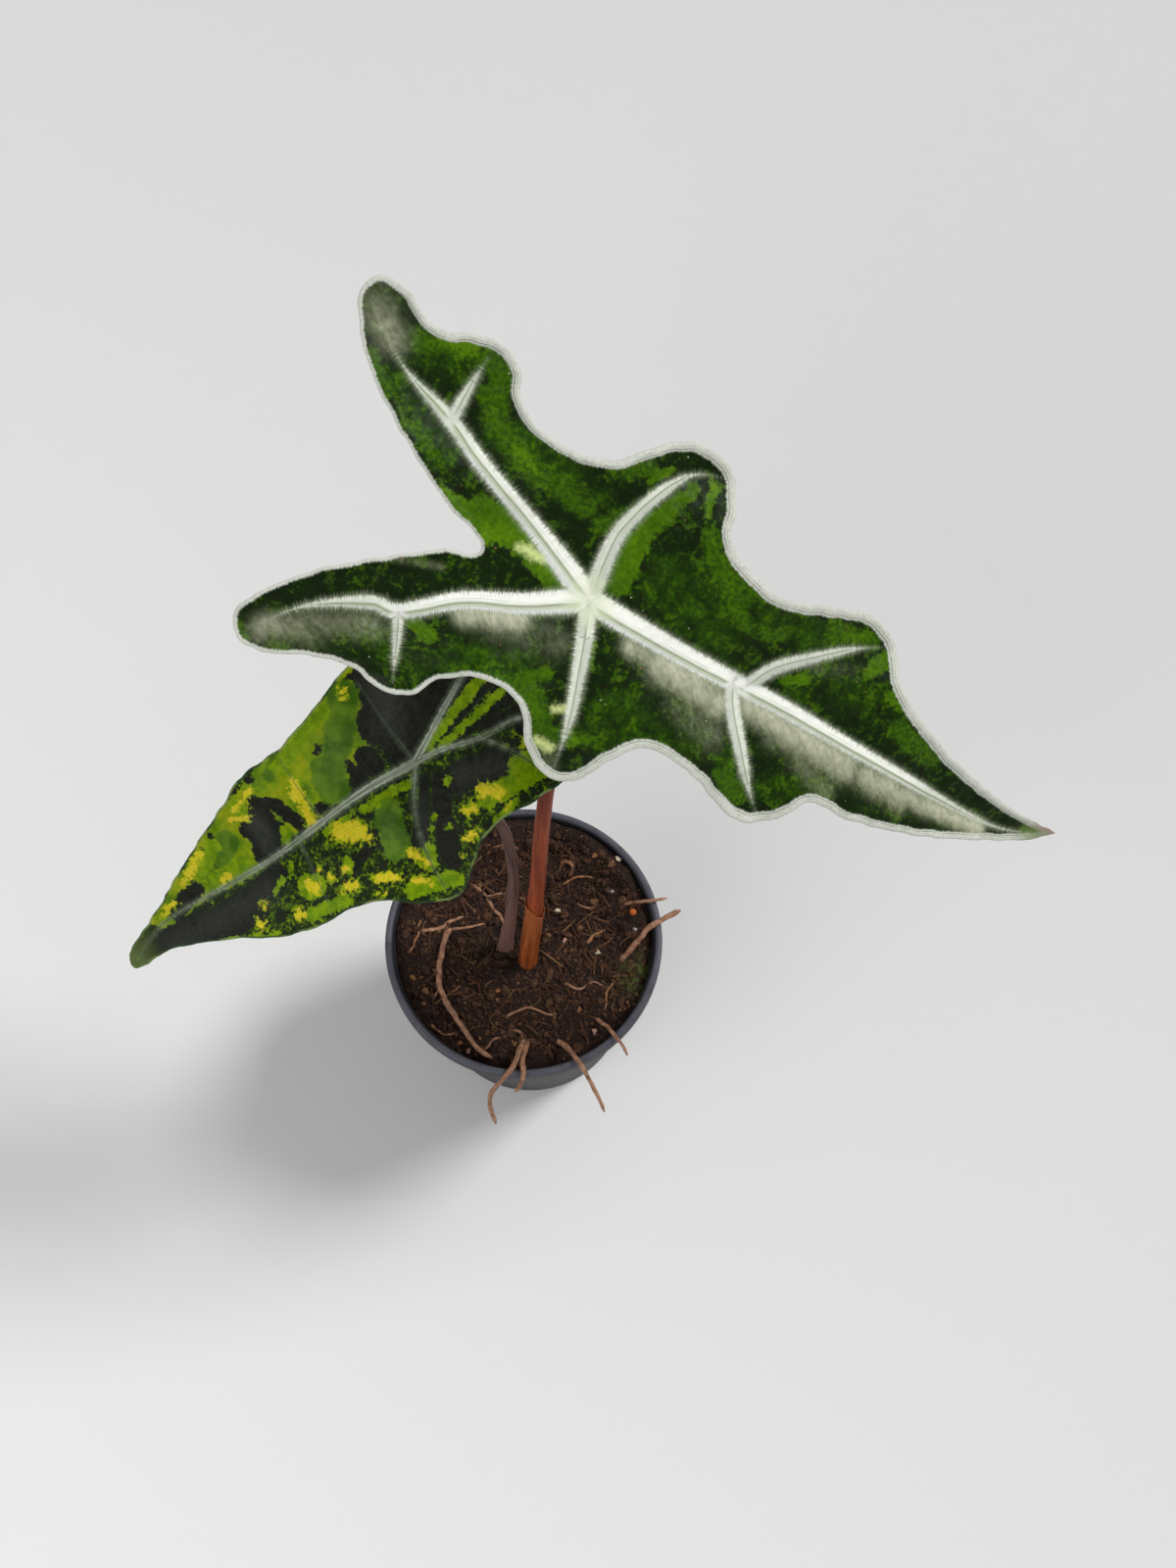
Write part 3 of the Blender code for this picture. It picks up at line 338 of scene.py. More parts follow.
LOWER_LEAF = Leaf(
    name="lower_blade",
    seat=(-24.7, 15.5, 190.0), heading=208.8, dip=25.2, roll=-24.2,
    margins=(
        [(-33, -1), (-38, 4.5), (-44, 11.5), (-51, 17), (-57, 22.5), (-56, 27), (-48, 28), (-38, 27),
         (-29.5, 26.5), (-22, 26), (-13, 25), (-4.5, 26.5), (4, 31.5), (11, 35), (19, 32), (28, 24),
         (36, 21), (48, 20), (60, 16.5), (76, 8), (94, 1.5), (105, 0.8), (110.5, 0), (112, -1.6)],
        [(-33, -1), (-39, -6.5), (-46, -13), (-54, -21), (-59, -28), (-55, -32), (-46, -32.5),
         (-34, -30), (-22, -28.5), (-12, -29.5), (-2, -30), (10, -27), (25, -24), (41, -24),
         (55, -19.5), (75, -14), (94, -8.5), (105, -5.6), (110.5, -3.6), (112, -1.6)]),
    main_veins=(
        ([(0, 0), (18, -2), (51, -2), (86, -5.5), (98, -4.5), (111, -1.8)], (1.25, 0.9, 0.45, -0.1)),
        ([(0, 0), (-8.5, 1.5), (-18.5, 5), (-29, 6.5), (-38, 12), (-46, 18), (-52, 22)],
         (0.8, 0.6, 0.3, -0.4)),
        ([(0, 0), (-16, -7), (-31.5, -14), (-43, -20), (-52, -26)], (1.0, 0.75, 0.45, 0.1))),
    leans=(0.0, 0.0, 0.0),
    side_veins=(
        ([(0, 0), (7.5, 11), (12, 25), (13.5, 32.5)], (0.7, 0.3, 0.0, -0.6)),
        ([(0, 0), (-0.5, -11), (-1.5, -27)], (0.3, -0.3, -0.5, -0.6)),
        ([(40.5, -2), (41, 13.5), (42.5, 19)], (0.2, -0.2, -0.5, -0.7)),
        ([(31, -2), (28.5, -17), (27, -22.5)], (0.1, -0.4, -0.6, -0.7)),
        ([(-18.5, 5), (-24.5, 14), (-27, 20)], (0.5, 0.2, -0.1, -0.5))),
    arch_front=330, arch_back=300, cup=8.0,
    waves=((12, 35, -4), (55, 19, -1.5), (0, -30, -3), (42, -24, -2), (36, 21, 2.5), (23, -24, 1.5),
           (-11, 26, 2), (-57, 25, -3), (-58, -30, -3)),
    margin_bands=(
        ((0, 0.35), (1, 0.45)),
        ((0, 0.35), (1, 0.45))),
    ground=((4, -24, 28, -15, 12), (28, -14, 60, -11, 9.5), (58, -10, 90, -8, 5),
            (-30, 17, -44, 22, 6)),
    darks=((-6, -23, -3, -8, 6.5), (-15, -22, -12, -10, 7), (-25, -24, -22, -14, 7),
           (-36, -26, -32, -18, 7), (2, -16, 3, -13, 3.4), (0, -9, 2, -4, 3), (9, -9, 9, -6, 3),
           (14, -3.5, 29, -5, 1.7), (14, -10, 14, -5, 1.7), (43, -18, 37, -12.5, 1.9),
           (37, -10, 36, -4, 2.2), (44, -12, 49, -5, 4.0), (42, -8, 52, -4, 2.4),
           (49, -12, 48, -9, 2.4), (75, -8, 86, -6, 2.6), (58, -17, 58.5, -16.5, 0.9),
           (63, -15.6, 63, -15, 0.6), (39, -22.5, 38.5, -22, 0.8), (17, -18, 18, -17, 1.1),
           (-3, -28, 4, -27.5, 0.5), (52, 3, 64, 4, 3.6), (62, 5, 80, 4, 5), (80, 2, 102, -1, 4.6),
           (0, 5, 5, 12, 1.3), (5, 11, 11, 18, 1.8), (-4, 8, 3, 18, 2.6), (2, 18, 6, 26, 3.0),
           (-8, 10, -18, 12, 3.8), (-18, 13, -27, 17, 2.8), (-8, -1, -29, -5, 1.0),
           (-12, 1.6, -38, 0.8, 1.1), (-22, 4, -36, 5.5, 1.5), (13, 6.5, 15, 5.5, 0.9),
           (-38, 10, -30, 9, 2.5), (19, 10, 30, 13, 1.2)),
    mids=((19, -12, 22, -7, 4.6), (3, -25, 13, -15, 3.8), (13, 6, 16, 15, 3.8), (56, -13, 62, -9, 3.2),
          (33, -20, 26, -22, 2.0)),
    limes=((57, -5.5, 67, -5.5, 2.8), (4, 3.4, 19, 1.8, 1.3), (48, 16.5, 36, 18.5, 2.0),
           (20, 27, 9, 31, 2.3), (-12, 18.5, -24, 20, 2.8), (-24, 18, -42, 23, 4.2),
           (3, 14, 6, 17, 0.6), (-5, -1.2, -31, -8, 1.5), (-9, 0.6, -38, -2.0, 1.1),
           (44, 10, 42, 11, 3.4), (60, 15.6, 77, 8, 0.7), (41, -6, 43, -4, 1.4), (31, 12, 30, 11, 1.6),
           (24, 1.5, 31, 0.8, 1.2), (-6, 8.4, -5, 9, 1.0), (1, 18.6, 2, 19, 0.6),
           (-11, 24.5, -18, 23.5, 1.0), (10, 21, 12, 24, 2.0), (30, -20, 10, -25, 2.0),
           (60, -14, 70, -10, 2.0), (50, 4, 54, 6, 0.8), (46, 2, 48, 5, 0.8)),
    yellows=((29.5, -14, 31.5, -10, 1.9), (31.5, -9, 33.5, -3, 1.5), (28, 3, 23, 6, 2.8),
             (22, 8, 21, 9, 1.2), (14, 18.5, 12.5, 23, 1.2), (43.5, 10, 42.5, 11.5, 1.9),
             (51.5, 14.5, 50, 15, 1.5), (63.5, 10.5, 63, 11, 1.5), (59.5, 6.5, 59, 7.2, 0.9),
             (31.5, 11.5, 30.5, 12, 0.9), (37, 11, 36, 11.5, 1.0), (39, 7.8, 38.5, 8, 0.6),
             (33.5, 16, 31.5, 17, 1.4), (36, 16.5, 35.5, 16.8, 0.7), (25, 18.5, 21, 21.5, 1.3),
             (27, 22.2, 26.5, 22.4, 0.7), (18, 25, 15, 28, 1.0), (-12, 16, -16, 19.5, 1.8),
             (-5.8, 18, -7.6, 18.4, 1.5), (-5, 24, -1, 24, 0.9), (-15.5, 23.2, -16.5, 23.4, 0.9),
             (2.4, 27, 2.8, 27, 0.4), (65, -15, 73, -12, 1.4), (73, -12, 77, -11, 0.9),
             (84, -8.6, 90, -7.2, 0.9), (51, -17, 47, -15, 0.9), (3, -26, 3.4, -25, 1.1),
             (64, -5.4, 66, -5, 1.3), (40, -20, 48, -18.5, 0.9)),
    # Dabs of painted sheen: a grey reflection painted over the dark patches, with its strength
    painted_sheens=((-8, -20, 0, -12, 8.0, 0.35), (46, -12, 48, -6, 4.0, 0.45), (56, 4, 92, 1, 6.0, 0.35),
             (-10, 10, -20, 13, 5.0, 0.4), (5, 10, 10, 18, 3.0, 0.3), (12, -16, 20, -10, 6.0, 0.25),
             (14, 8, 16, 14, 4.0, 0.3), (84, 8, 98, 4, 3.0, 0.35)),
    seed=29)

# Camera, lamps and floor
CAMERA_PLACE = (20.879, -144.217, 570.140)
CAMERA_TURN = 22.0
CAMERA_LENS = 36.0
SENSOR_HEIGHT = 36.0
KEY_PLACE = (520, 260, 700)
KEY_ANGLE = 17
FILL_PLACE = (-500, -500, 700)
FILL_SIZE = 700
LAMPS_AIM = (0, 0, 120)
FLOOR_FLAT = 3000
BRIM_HEIGHT = 5000
FLOOR_STEPS = 12
FLOOR_SIDES = 96
BRIM_SHADOW = (6200, 8500)


class Socket:
    """An output of a node. Arithmetic on it adds Math nodes to the same tree."""

    def __init__(self, tree, link):
        self.tree = tree
        self.link = link

    def output(self, name):
        """Another output of the same node."""
        return Socket(self.tree, self.link.node.outputs[name])

    def step(self, low, high):
        """0 below low, 1 above high, and smooth between."""
        return self.tree.node("ShaderNodeMapRange", {"Value": self, "From Min": low, "From Max": high},
                              interpolation_type="SMOOTHSTEP")

    def maths(self, operation, *others):
        return self.tree.node("ShaderNodeMath", dict(enumerate((self, *others))), operation=operation)


def overloaded(operation):
    """The two methods of an operator: as it stands, and with the socket on the right."""
    def forward(self, other):
        return self.maths(operation, other)

    def reflected(self, other):
        return self.tree.node("ShaderNodeMath", {0: other, 1: self}, operation=operation)

    return forward, reflected


Socket.__add__, Socket.__radd__ = overloaded("ADD")
Socket.__sub__, Socket.__rsub__ = overloaded("SUBTRACT")
Socket.__mul__, Socket.__rmul__ = overloaded("MULTIPLY")
Socket.__truediv__, Socket.__rtruediv__ = overloaded("DIVIDE")


class Tree:
    """Builds a tree of nodes, for a finish or for Geometry Nodes."""

    def __init__(self, group):
        self.group = group

    def node(self, kind, sockets=None, out=0, stops=None, **settings):
        """Adds a node: its settings and ramp stops first, then what its sockets hold or take."""
        node = self.group.nodes.new(kind)
        for name, value in settings.items():
            setattr(node, name, value)
        if stops:
            ramp = node.color_ramp
            while len(ramp.elements) < len(stops):
                ramp.elements.new(1)
            for element, (position, colour) in zip(ramp.elements, stops):
                element.position = position
                element.color = (*colour, 1)
        for name, value in (sockets or {}).items():
            if isinstance(value, Socket):
                self.group.links.new(value.link, node.inputs[name])
            else:
                node.inputs[name].default_value = value
        return Socket(self, node.outputs[out])

    def height(self, place):
        return self.node("ShaderNodeSeparateXYZ", {0: place}).output("Z")


def paint(colour):
    """A colour's 0 to 255 screen values as the linear values that nodes take."""
    shares = [value / 255 for value in colour]
    return tuple(s / 12.92 if s <= 0.04045 else ((s + 0.055) / 1.055) ** 2.4 for s in shares)


class Finish(Tree):
    """A material under construction. Sizes in it are millimetres, and colours screen values."""

    def __init__(self, name):
        self.material = bpy.data.materials.new(name)
        self.material.use_nodes = True
        super().__init__(self.material.node_tree)
        self.group.nodes.clear()

    def place(self):
        """The piece's own coordinates, in millimetres."""
        metres = self.node("ShaderNodeTexCoord", out="Object")
        return self.scaled(metres, (1 / MM,) * 3)

    def scaled(self, place, by):
        return self.node("ShaderNodeVectorMath", {0: place, 1: by}, operation="MULTIPLY")

    def field(self, name):
        """A vector attribute of the mesh, and its three values."""
        vector = self.node("ShaderNodeAttribute", out="Vector", attribute_name=name)
        parts = self.node("ShaderNodeSeparateXYZ", {0: vector})
        return vector, parts, parts.output("Y"), parts.output("Z")

    def vector(self, x, y, z=0.0):
        return self.node("ShaderNodeCombineXYZ", {0: x, 1: y, 2: z})

    def cloud(self, place, size, detail=3.0, roughness=0.5, distortion=0.0):
        return self.node("ShaderNodeTexNoise", {"Vector": place, "Scale": 1 / size, "Detail": detail,
                                                "Roughness": roughness, "Distortion": distortion})

    def cells(self, place, size):
        """How far each place is from the nearest of some points strewn a size apart."""
        return self.node("ShaderNodeTexVoronoi", {"Vector": place, "Scale": 1 / size}, out="Distance")

    def away(self, place, spot):
        """How far each place is from a spot."""
        return self.node("ShaderNodeVectorMath", {0: place, 1: spot}, operation="DISTANCE", out="Value")

    def mix(self, share, first, second):
        """First where share is 0, second where it is 1."""
        first, second = (colour if isinstance(colour, Socket) else (*paint(colour), 1)
                         for colour in (first, second))
        return self.node("ShaderNodeMix", {0: share, 6: first, 7: second}, out=2,
                         data_type="RGBA", clamp_factor=True)

    def ramp(self, value, stops, interpolation="LINEAR"):
        stops = [(position, paint(colour)) for position, colour in stops]
        colours = self.node("ShaderNodeValToRGB", {0: value}, stops=stops)
        colours.link.node.color_ramp.interpolation = interpolation
        return colours

    def bump(self, height, depth, over=None):
        sockets = {"Height": height, "Distance": depth * MM}
        if over:
            sockets["Normal"] = over
        return self.node("ShaderNodeBump", sockets)

    def close(self, colour, roughness, normal=None, **values):
        """Ends the tree in a Principled shader; values are its constant sockets."""
        sockets = {"Base Color": colour, "Roughness": roughness}
        if normal:
            sockets["Normal"] = normal
        sockets.update({name.replace("_", " "): value for name, value in values.items()})
        shader = self.node("ShaderNodeBsdfPrincipled", sockets)
        end = self.group.nodes.new("ShaderNodeOutputMaterial")
        self.group.links.new(shader.link, end.inputs["Surface"])
        return self.material


def dress(obj, node, slot_name, *materials):
    """Gives a finished piece its materials and its place on the part, and hides the solid it stands
    for.
    """
    for material in materials:
        obj.data.materials.append(material)
    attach(obj, "root")
    if node:
        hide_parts(node)
    return obj


def new_piece(name, mesh, smooth=True):
    if smooth:
        mesh.shade_smooth()
    obj = bpy.data.objects.new(name, mesh)
    bpy.context.scene.collection.objects.link(obj)
    return obj


def mesh_of(name, points, faces):
    """A mesh from points in millimetres."""
    mesh = bpy.data.meshes.new(name)
    mesh.from_pydata((np.array(points, float) * MM).tolist(), [], faces)
    mesh.validate()
    return mesh


def keep_field(mesh, name, values):
    """Stores a vector for each of the mesh's points."""
    attribute = mesh.attributes.new(name, "FLOAT_VECTOR", "POINT")
    attribute.data.foreach_set("vector", np.array(values, np.float32).ravel())


def keep_lay(mesh, angles, along, walls=1):
    """Stores each point's place on a tube: the cosine and sine of its angle, and how far along."""
    lay = np.stack(np.broadcast_arrays(np.cos(angles), np.sin(angles), along[:, None]), axis=-1)
    keep_field(mesh, "lay", np.tile(lay.reshape(-1, 3), (walls, 1)))


def wall(rings):
    """The faces that join each ring of point numbers to the next ring."""
    faces = []
    for near, far in zip(rings, rings[1:]):
        faces += zip(near, [*near[1:], near[0]], [*far[1:], far[0]], far)
    return faces


def rings_from(start, count, sides):
    """The point numbers of rings that follow each other."""
    return [list(range(start + k * sides, start + (k + 1) * sides)) for k in range(count)]


def bell(distance, reach):
    """1 at no distance, and falling away smoothly past the reach."""
    return np.exp(-(distance / reach) ** 2)


def ripple(places, size, seed, waves=9):
    """A smooth uneven height between about -1 and 1, with bumps of a size, over 2-D or 3-D places."""
    draw = np.random.default_rng(seed)
    total = np.zeros(len(places))
    for _ in range(waves):
        way = draw.normal(size=places.shape[1])
        way /= np.linalg.norm(way)
        length = size * draw.uniform(0.7, 1.5)
        total += np.sin(2 * math.pi * (places @ way / length + draw.uniform()))
    return total / math.sqrt(waves)


def walked_along(line):
    """How far along a line each of its points is."""
    return np.concatenate([[0], np.cumsum(np.linalg.norm(np.diff(line, axis=0), axis=1))])


def smooth_line(points, step):
    """Points about one step apart on a smooth curve through the given points."""
    knots = np.array(points, float)
    knots = np.vstack([2 * knots[0] - knots[1], knots, 2 * knots[-1] - knots[-2]])
    t = np.linspace(0, 1, 24, endpoint=False)[:, None]
    fine = []
    for before, start, end, after in zip(knots, knots[1:], knots[2:], knots[3:]):
        fine.append(0.5 * (2 * start + (end - before) * t
                           + (2 * before - 5 * start + 4 * end - after) * t ** 2
                           + (3 * start - before - 3 * end + after) * t ** 3))
    fine = np.vstack([*fine, knots[-2]])
    walked = walked_along(fine)
    count = max(2, round(walked[-1] / step))
    stations = np.linspace(0, walked[-1], count + 1)
    return np.stack([np.interp(stations, walked, axis) for axis in fine.T], axis=1)


def nearest_on(line, places):
    """For each place: its distance from a line, how far along that is, the line's length, the way."""
    best = np.full(len(places), np.inf)
    along = np.zeros(len(places))
    way = np.zeros((len(places), 2))
    walked = 0.0
    for start, end in zip(line, line[1:]):
        run = end - start
        length = math.hypot(*run)
        share = np.clip((places - start) @ run / length ** 2, 0, 1)
        gap = places - start - share[:, None] * run
        distance = np.hypot(gap[:, 0], gap[:, 1])
        nearer = distance < best
        best[nearer] = distance[nearer]
        along[nearer] = walked + share[nearer] * length
        way[nearer] = gap[nearer]
        walked += length
    return best, along, walked, way


def inside(outline, places):
    """Which places lie within a closed outline."""
    within = np.zeros(len(places), bool)
    u, v = places.T
    for (a, b), (c, d) in zip(outline, np.roll(outline, -1, axis=0)):
        crosses = (b > v) != (d > v)
        if b != d:
            within ^= crosses & (u < a + (v - b) / (d - b) * (c - a))
    return within


def softly_nearest(distances):
    """The least of several distances, with the creases half-way between two lines rounded off."""
    return sum((distance + 0.02) ** -4.0 for distance in distances) ** -0.25


def from_dab(dab, places):
    """How far each place is from the middle line of a dab of colour."""
    from_u, from_v, to_u, to_v = dab[:4]
    return nearest_on(np.array([(from_u, from_v), (to_u + 0.01, to_v)]), places)[0]


def reach_of_dabs(dabs, places):
    """How far inside the nearest dab of colour each place is; negative outside them all."""
    reach = np.full(len(places), -np.inf)
    for dab in dabs:
        reach = np.maximum(reach, dab[4] - from_dab(dab, places))
    return np.clip(reach, -DAB_REACH, DAB_REACH)


def blade_outline(leaf):
    """The closed margin, anticlockwise, with the fine unevenness of a real edge."""
    halves = [smooth_line(margin, TOP_STEP) for margin in leaf.margins]
    outline = np.vstack([halves[1], halves[0][::-1][1:-1]])
    ahead = np.roll(outline, -1, axis=0) - np.roll(outline, 1, axis=0)
    ahead /= np.linalg.norm(ahead, axis=1)[:, None]
    out = np.stack([ahead[:, 1], -ahead[:, 0]], axis=1)
    uneven = 0.16 * ripple(outline, 7.0, leaf.seed) + 0.04 * ripple(outline, 2.6, leaf.seed + 1)
    return outline + out * uneven[:, None], out


def meshed(outline, step, rings=(), lines=()):
    """Points inside an outline, on rings near it, lines and an even grid, and the triangles of all."""
    low, high = outline.min(axis=0), outline.max(axis=0)
    row_gap = step * math.sqrt(3) / 2
    columns = np.arange(low[0], high[0], step)
    rows = np.arange(low[1], high[1], row_gap)
    grid = np.array([(u + step / 2 * (k % 2), v) for k, v in enumerate(rows) for u in columns])
    closed = np.vstack([outline[::2], outline[:1]])
    chosen = np.empty((0, 2))
    sets = [(ring, 0, 0.3) for ring in rings]
    sets += [(line, step * 0.7, step * 0.6) for line in lines] + [(grid, step * 0.5, step * 0.6)]
    for spots, gap, inset in sets:
        spots = spots[inside(outline, spots)]
        spots = spots[nearest_on(closed, spots)[0] > inset]
        if len(chosen) and gap:
            apart = np.array([np.hypot(*(chosen - spot).T).min() for spot in spots])
            spots = spots[apart > gap]
        chosen = np.vstack([chosen, spots])
    points = np.vstack([outline, chosen])
    rim = list(range(len(outline)))
    found = delaunay_2d_cdt([Vector(point) for point in points], [], [rim], 1, 1e-4)
    return np.array([tuple(point) for point in found[0]]), [tuple(face) for face in found[2]]


class BladeShape:
    """What a blade's form and colour are worked out from, at given places in its flat."""

    def __init__(self, leaf, places, outline):
        self.leaf = leaf
        self.places = places
        self.from_margin = nearest_on(np.vstack([outline[::2], outline[:1]]), places)[0]
        pick = np.arange(len(places))
        margins = [nearest_on(smooth_line(margin, 2.0), places) for margin in leaf.margins]
        which = np.array([distance for distance, *_ in margins]).argmin(axis=0)
        self.round_margin = np.array([along for _, along, *_ in margins])[which, pick]
        bands = [np.interp(along / length, *np.array(band).T)
                 for (_, along, length, _), band in zip(margins, leaf.margin_bands)]
        self.band = np.array(bands)[which, pick]
        mains = [self.reach_of(vein, lean) for vein, lean in zip(leaf.main_veins, leaf.leans)]
        sides = [self.reach_of(vein, 0.0) for vein in leaf.side_veins]
        self.from_main = softly_nearest([distance for distance, *_ in mains])
        self.from_side = softly_nearest([distance for distance, *_ in sides])
        distances, widths, alongs, grooves = (np.array(rows) for rows in zip(*mains, *sides))
        which = (distances - widths).argmin(axis=0)
        nearest, second = np.sort(distances - widths, axis=0)[:2]
        self.from_rival = second - nearest
        self.off_vein = distances[which, pick]
        self.vein_width = widths[which, pick]
        self.past_vein = self.off_vein - self.vein_width
        self.along_vein = alongs[which, pick] + VEIN_STRETCH * which
        self.groove = grooves[which, pick]

    def reach_of(self, vein, lean):
        points, widths = vein
        distance, along, length, way = nearest_on(smooth_line(points, 1.5), self.places)
        width = np.interp(along / length, (0, 1 / 3, 2 / 3, 1), widths)
        groove = distance * np.sign(way @ np.array(LIT_SIDE)) + lean * np.clip(width, 0, None)
        return distance, width, along, groove

    def rise(self):
        """How far the blade stands off the flat of its seat: its arch, cup, quilting and waves."""
        leaf = self.leaf
        u, v = self.places.T
        rise = -u * u / (2 * np.where(u > 0, leaf.arch_front, leaf.arch_back))
        for distance, height, reach in ((self.from_main, leaf.cup, CUP_REACH),
                                        (self.from_side, QUILT, QUILT_REACH)):
            rounded_off = np.hypot(distance, VEIN_ROUNDING) - VEIN_ROUNDING
            rise += height * (1 - np.exp(-rounded_off / reach))
        for at_u, at_v, lift in leaf.waves:
            rise += lift * np.exp(-((u - at_u) ** 2 + (v - at_v) ** 2) / (2 * WAVE_REACH ** 2))
        rise += 0.40 * ripple(self.places, 22.0, leaf.seed + 2)
        rise += 0.35 * ripple(self.places, 13.0, leaf.seed + 3) * np.exp(-self.from_margin / 7)
        return rise

    def relief(self):
        """The fine form of the upper face: cushioned veins, quilting between them, a rolled edge."""
        leaf = self.leaf
        width = np.clip(self.vein_width, 0.4, 3.2)
        cushion = VEIN_CUSHION * width * np.clip(1 - (self.off_vein / width) ** 2, 0, 1)
        cushion -= VEIN_GROOVE * width * bell(self.groove, VEIN_GROOVE_REACH)
        past = np.clip(self.past_vein, 0, None)
        pillow = PILLOW * (1 - np.exp(-past / PILLOW_REACH))
        bent = 1.3 * ripple(self.places, 9.0, leaf.seed + 4)
        folds = CORRUGATION * np.sin(2 * math.pi * self.along_vein / CORRUGATION_GAP + bent)
        folds *= (1 - np.exp(-past / 3)) * np.exp(-past / 18)
        folds += 0.07 * ripple(self.places, 3.2, leaf.seed + 5)
        folds *= 1 - np.exp(-self.from_margin / 3)
        roll = ROLLED_EDGE * bell(self.from_margin - 1.0, ROLLED_EDGE_REACH)
        return cushion + pillow + folds + roll

    def underside(self):
        """How far the under face lies below the rise: the blade's thickness, ribs and seat boss."""
        thickness = BLADE_THICKNESS - 0.3 * np.exp(-self.from_margin / 1.5)
        reach = np.hypot(*self.places.T)
        tip_reach = self.leaf.margins[0][-1][0]
        taper = 1 - 0.6 * reach / tip_reach
        main = MAIN_RIB * bell(self.from_main, MAIN_RIB_REACH) * taper
        side = SIDE_RIB * bell(self.from_side, SIDE_RIB_REACH) * taper
        boss = SEAT_BOSS * np.exp(-(reach / SEAT_BOSS_REACH) ** 4)
        return thickness + np.maximum(np.maximum(main, side), boss)

    def painted_sheen(self):
        """How strongly the painted sheen, a reflection painted into the colour, shows at each place."""
        strongest = np.zeros(len(self.places))
        for *line, half_width, strength in self.leaf.painted_sheens:
            fade = bell(from_dab(line, self.places), half_width)
            strongest = np.maximum(strongest, strength * fade)
        return strongest

    def keep_fields(self, mesh):
        """Stores what the finish reads: places, veins, margin, the reach of the dabs of colour and the
        strength of the painted sheen.
        """
        leaf = self.leaf
        u, v = self.places.T
        none = np.zeros(len(u))
        ground, darks, mids, limes, yellows = (
            reach_of_dabs(dabs, self.places)
            for dabs in (leaf.ground, leaf.darks, leaf.mids, leaf.limes, leaf.yellows))
        for name, values in (("flat", (u, v, none)),
                             ("join", (self.from_rival, none, none)),
                             ("vein", (self.along_vein, self.groove, self.past_vein)),
                             ("margin", (self.from_margin, self.round_margin, self.band)),
                             ("patch", (ground, darks, mids)),
                             ("accent", (limes, yellows, self.painted_sheen()))):
            keep_field(mesh, name, np.stack(values, axis=1))


def make_blade(leaf, slot_name, top_finish, under_finish):
    """A blade with a fine upper face, a coarser ribbed under face and a rounded edge between."""
    outline, out = blade_outline(leaf)
    veins = [smooth_line(points, TOP_STEP) for points, _ in leaf.main_veins + leaf.side_veins]
    insets = [outline - out * inset for inset in EDGE_RINGS]
    top, top_faces = meshed(outline, TOP_STEP, insets, veins)
    under, under_faces = meshed(outline, UNDER_STEP)
    places = np.vstack([top, under, outline + out * EDGE_ROUND])
    shape = BladeShape(leaf, places, outline)
    sides = len(outline)
    under_start, edge_start = len(top), len(top) + len(under)
    rise = shape.rise()
    height = rise + shape.relief()
    height[under_start:] = (rise - shape.underside())[under_start:]
    height[edge_start:] = (height[:sides] + height[under_start:under_start + sides]) / 2
    faces = top_faces + [tuple(k + under_start for k in reversed(face)) for face in under_faces]
    top_ring, under_ring, edge_ring = (rings_from(start, 1, sides)[0]
                                       for start in (0, under_start, edge_start))
    faces += wall([under_ring, edge_ring, top_ring])
    mesh = mesh_of(leaf.name, leaf.placed(np.column_stack([places, height])), faces)
    shape.keep_fields(mesh)
    finishes = np.zeros(len(mesh.polygons), np.int32)
    finishes[len(top_faces):len(top_faces) + len(under_faces)] = 1
    mesh.polygons.foreach_set("material_index", finishes)
    return dress(new_piece("leaf_" + leaf.name, mesh), leaf.name, slot_name, top_finish, under_finish)


class LeafFinish(Finish):
    """A finish for a blade's face, with the fields that the blade's mesh carries."""

    def __init__(self, name):
        super().__init__(name)
        self.flat, self.u, self.v, _ = self.field("flat")
        self.from_rival = self.field("join")[1]
        _, self.along, self.groove, self.past = self.field("vein")
        self.off = self.groove.maths("ABSOLUTE")
        _, self.from_margin, self.round_margin, self.band = self.field("margin")
        _, self.ground, self.dark, self.mid = self.field("patch")
        # The accent's last value is how strongly the painted sheen shows
        _, self.lime, self.yellow, self.painted_sheen = self.field("accent")

    def patch(self, reach, cloud, spread, soft=0.12):
        """1 inside a set of dabs and 0 outside, with an edge that the cloud pushes about."""
        return (reach + (cloud - 0.5) * spread).step(-soft, soft)

    def comb(self, along, across, shift=0.0, detail=3, roughness=0.6, distortion=0.0):
        """A cloud drawn out into strands that stand square to the veins."""
        place = self.vector(self.along / along, self.past / across, shift)
        return self.cloud(place, 1.0, detail, roughness, distortion)

    def stripe(self, offset, outer, inner):
        """1 where the offset from a line is within inner, and 0 beyond outer."""
        return offset.maths("ABSOLUTE").step(outer, inner)

    def skin(self, ripples, depth):
        """The leaf's surface grain over its ripples."""
        grain = self.cloud(self.flat, 0.42, 3, 0.6)
        return self.bump(grain, 0.03, self.bump(ripples, depth))


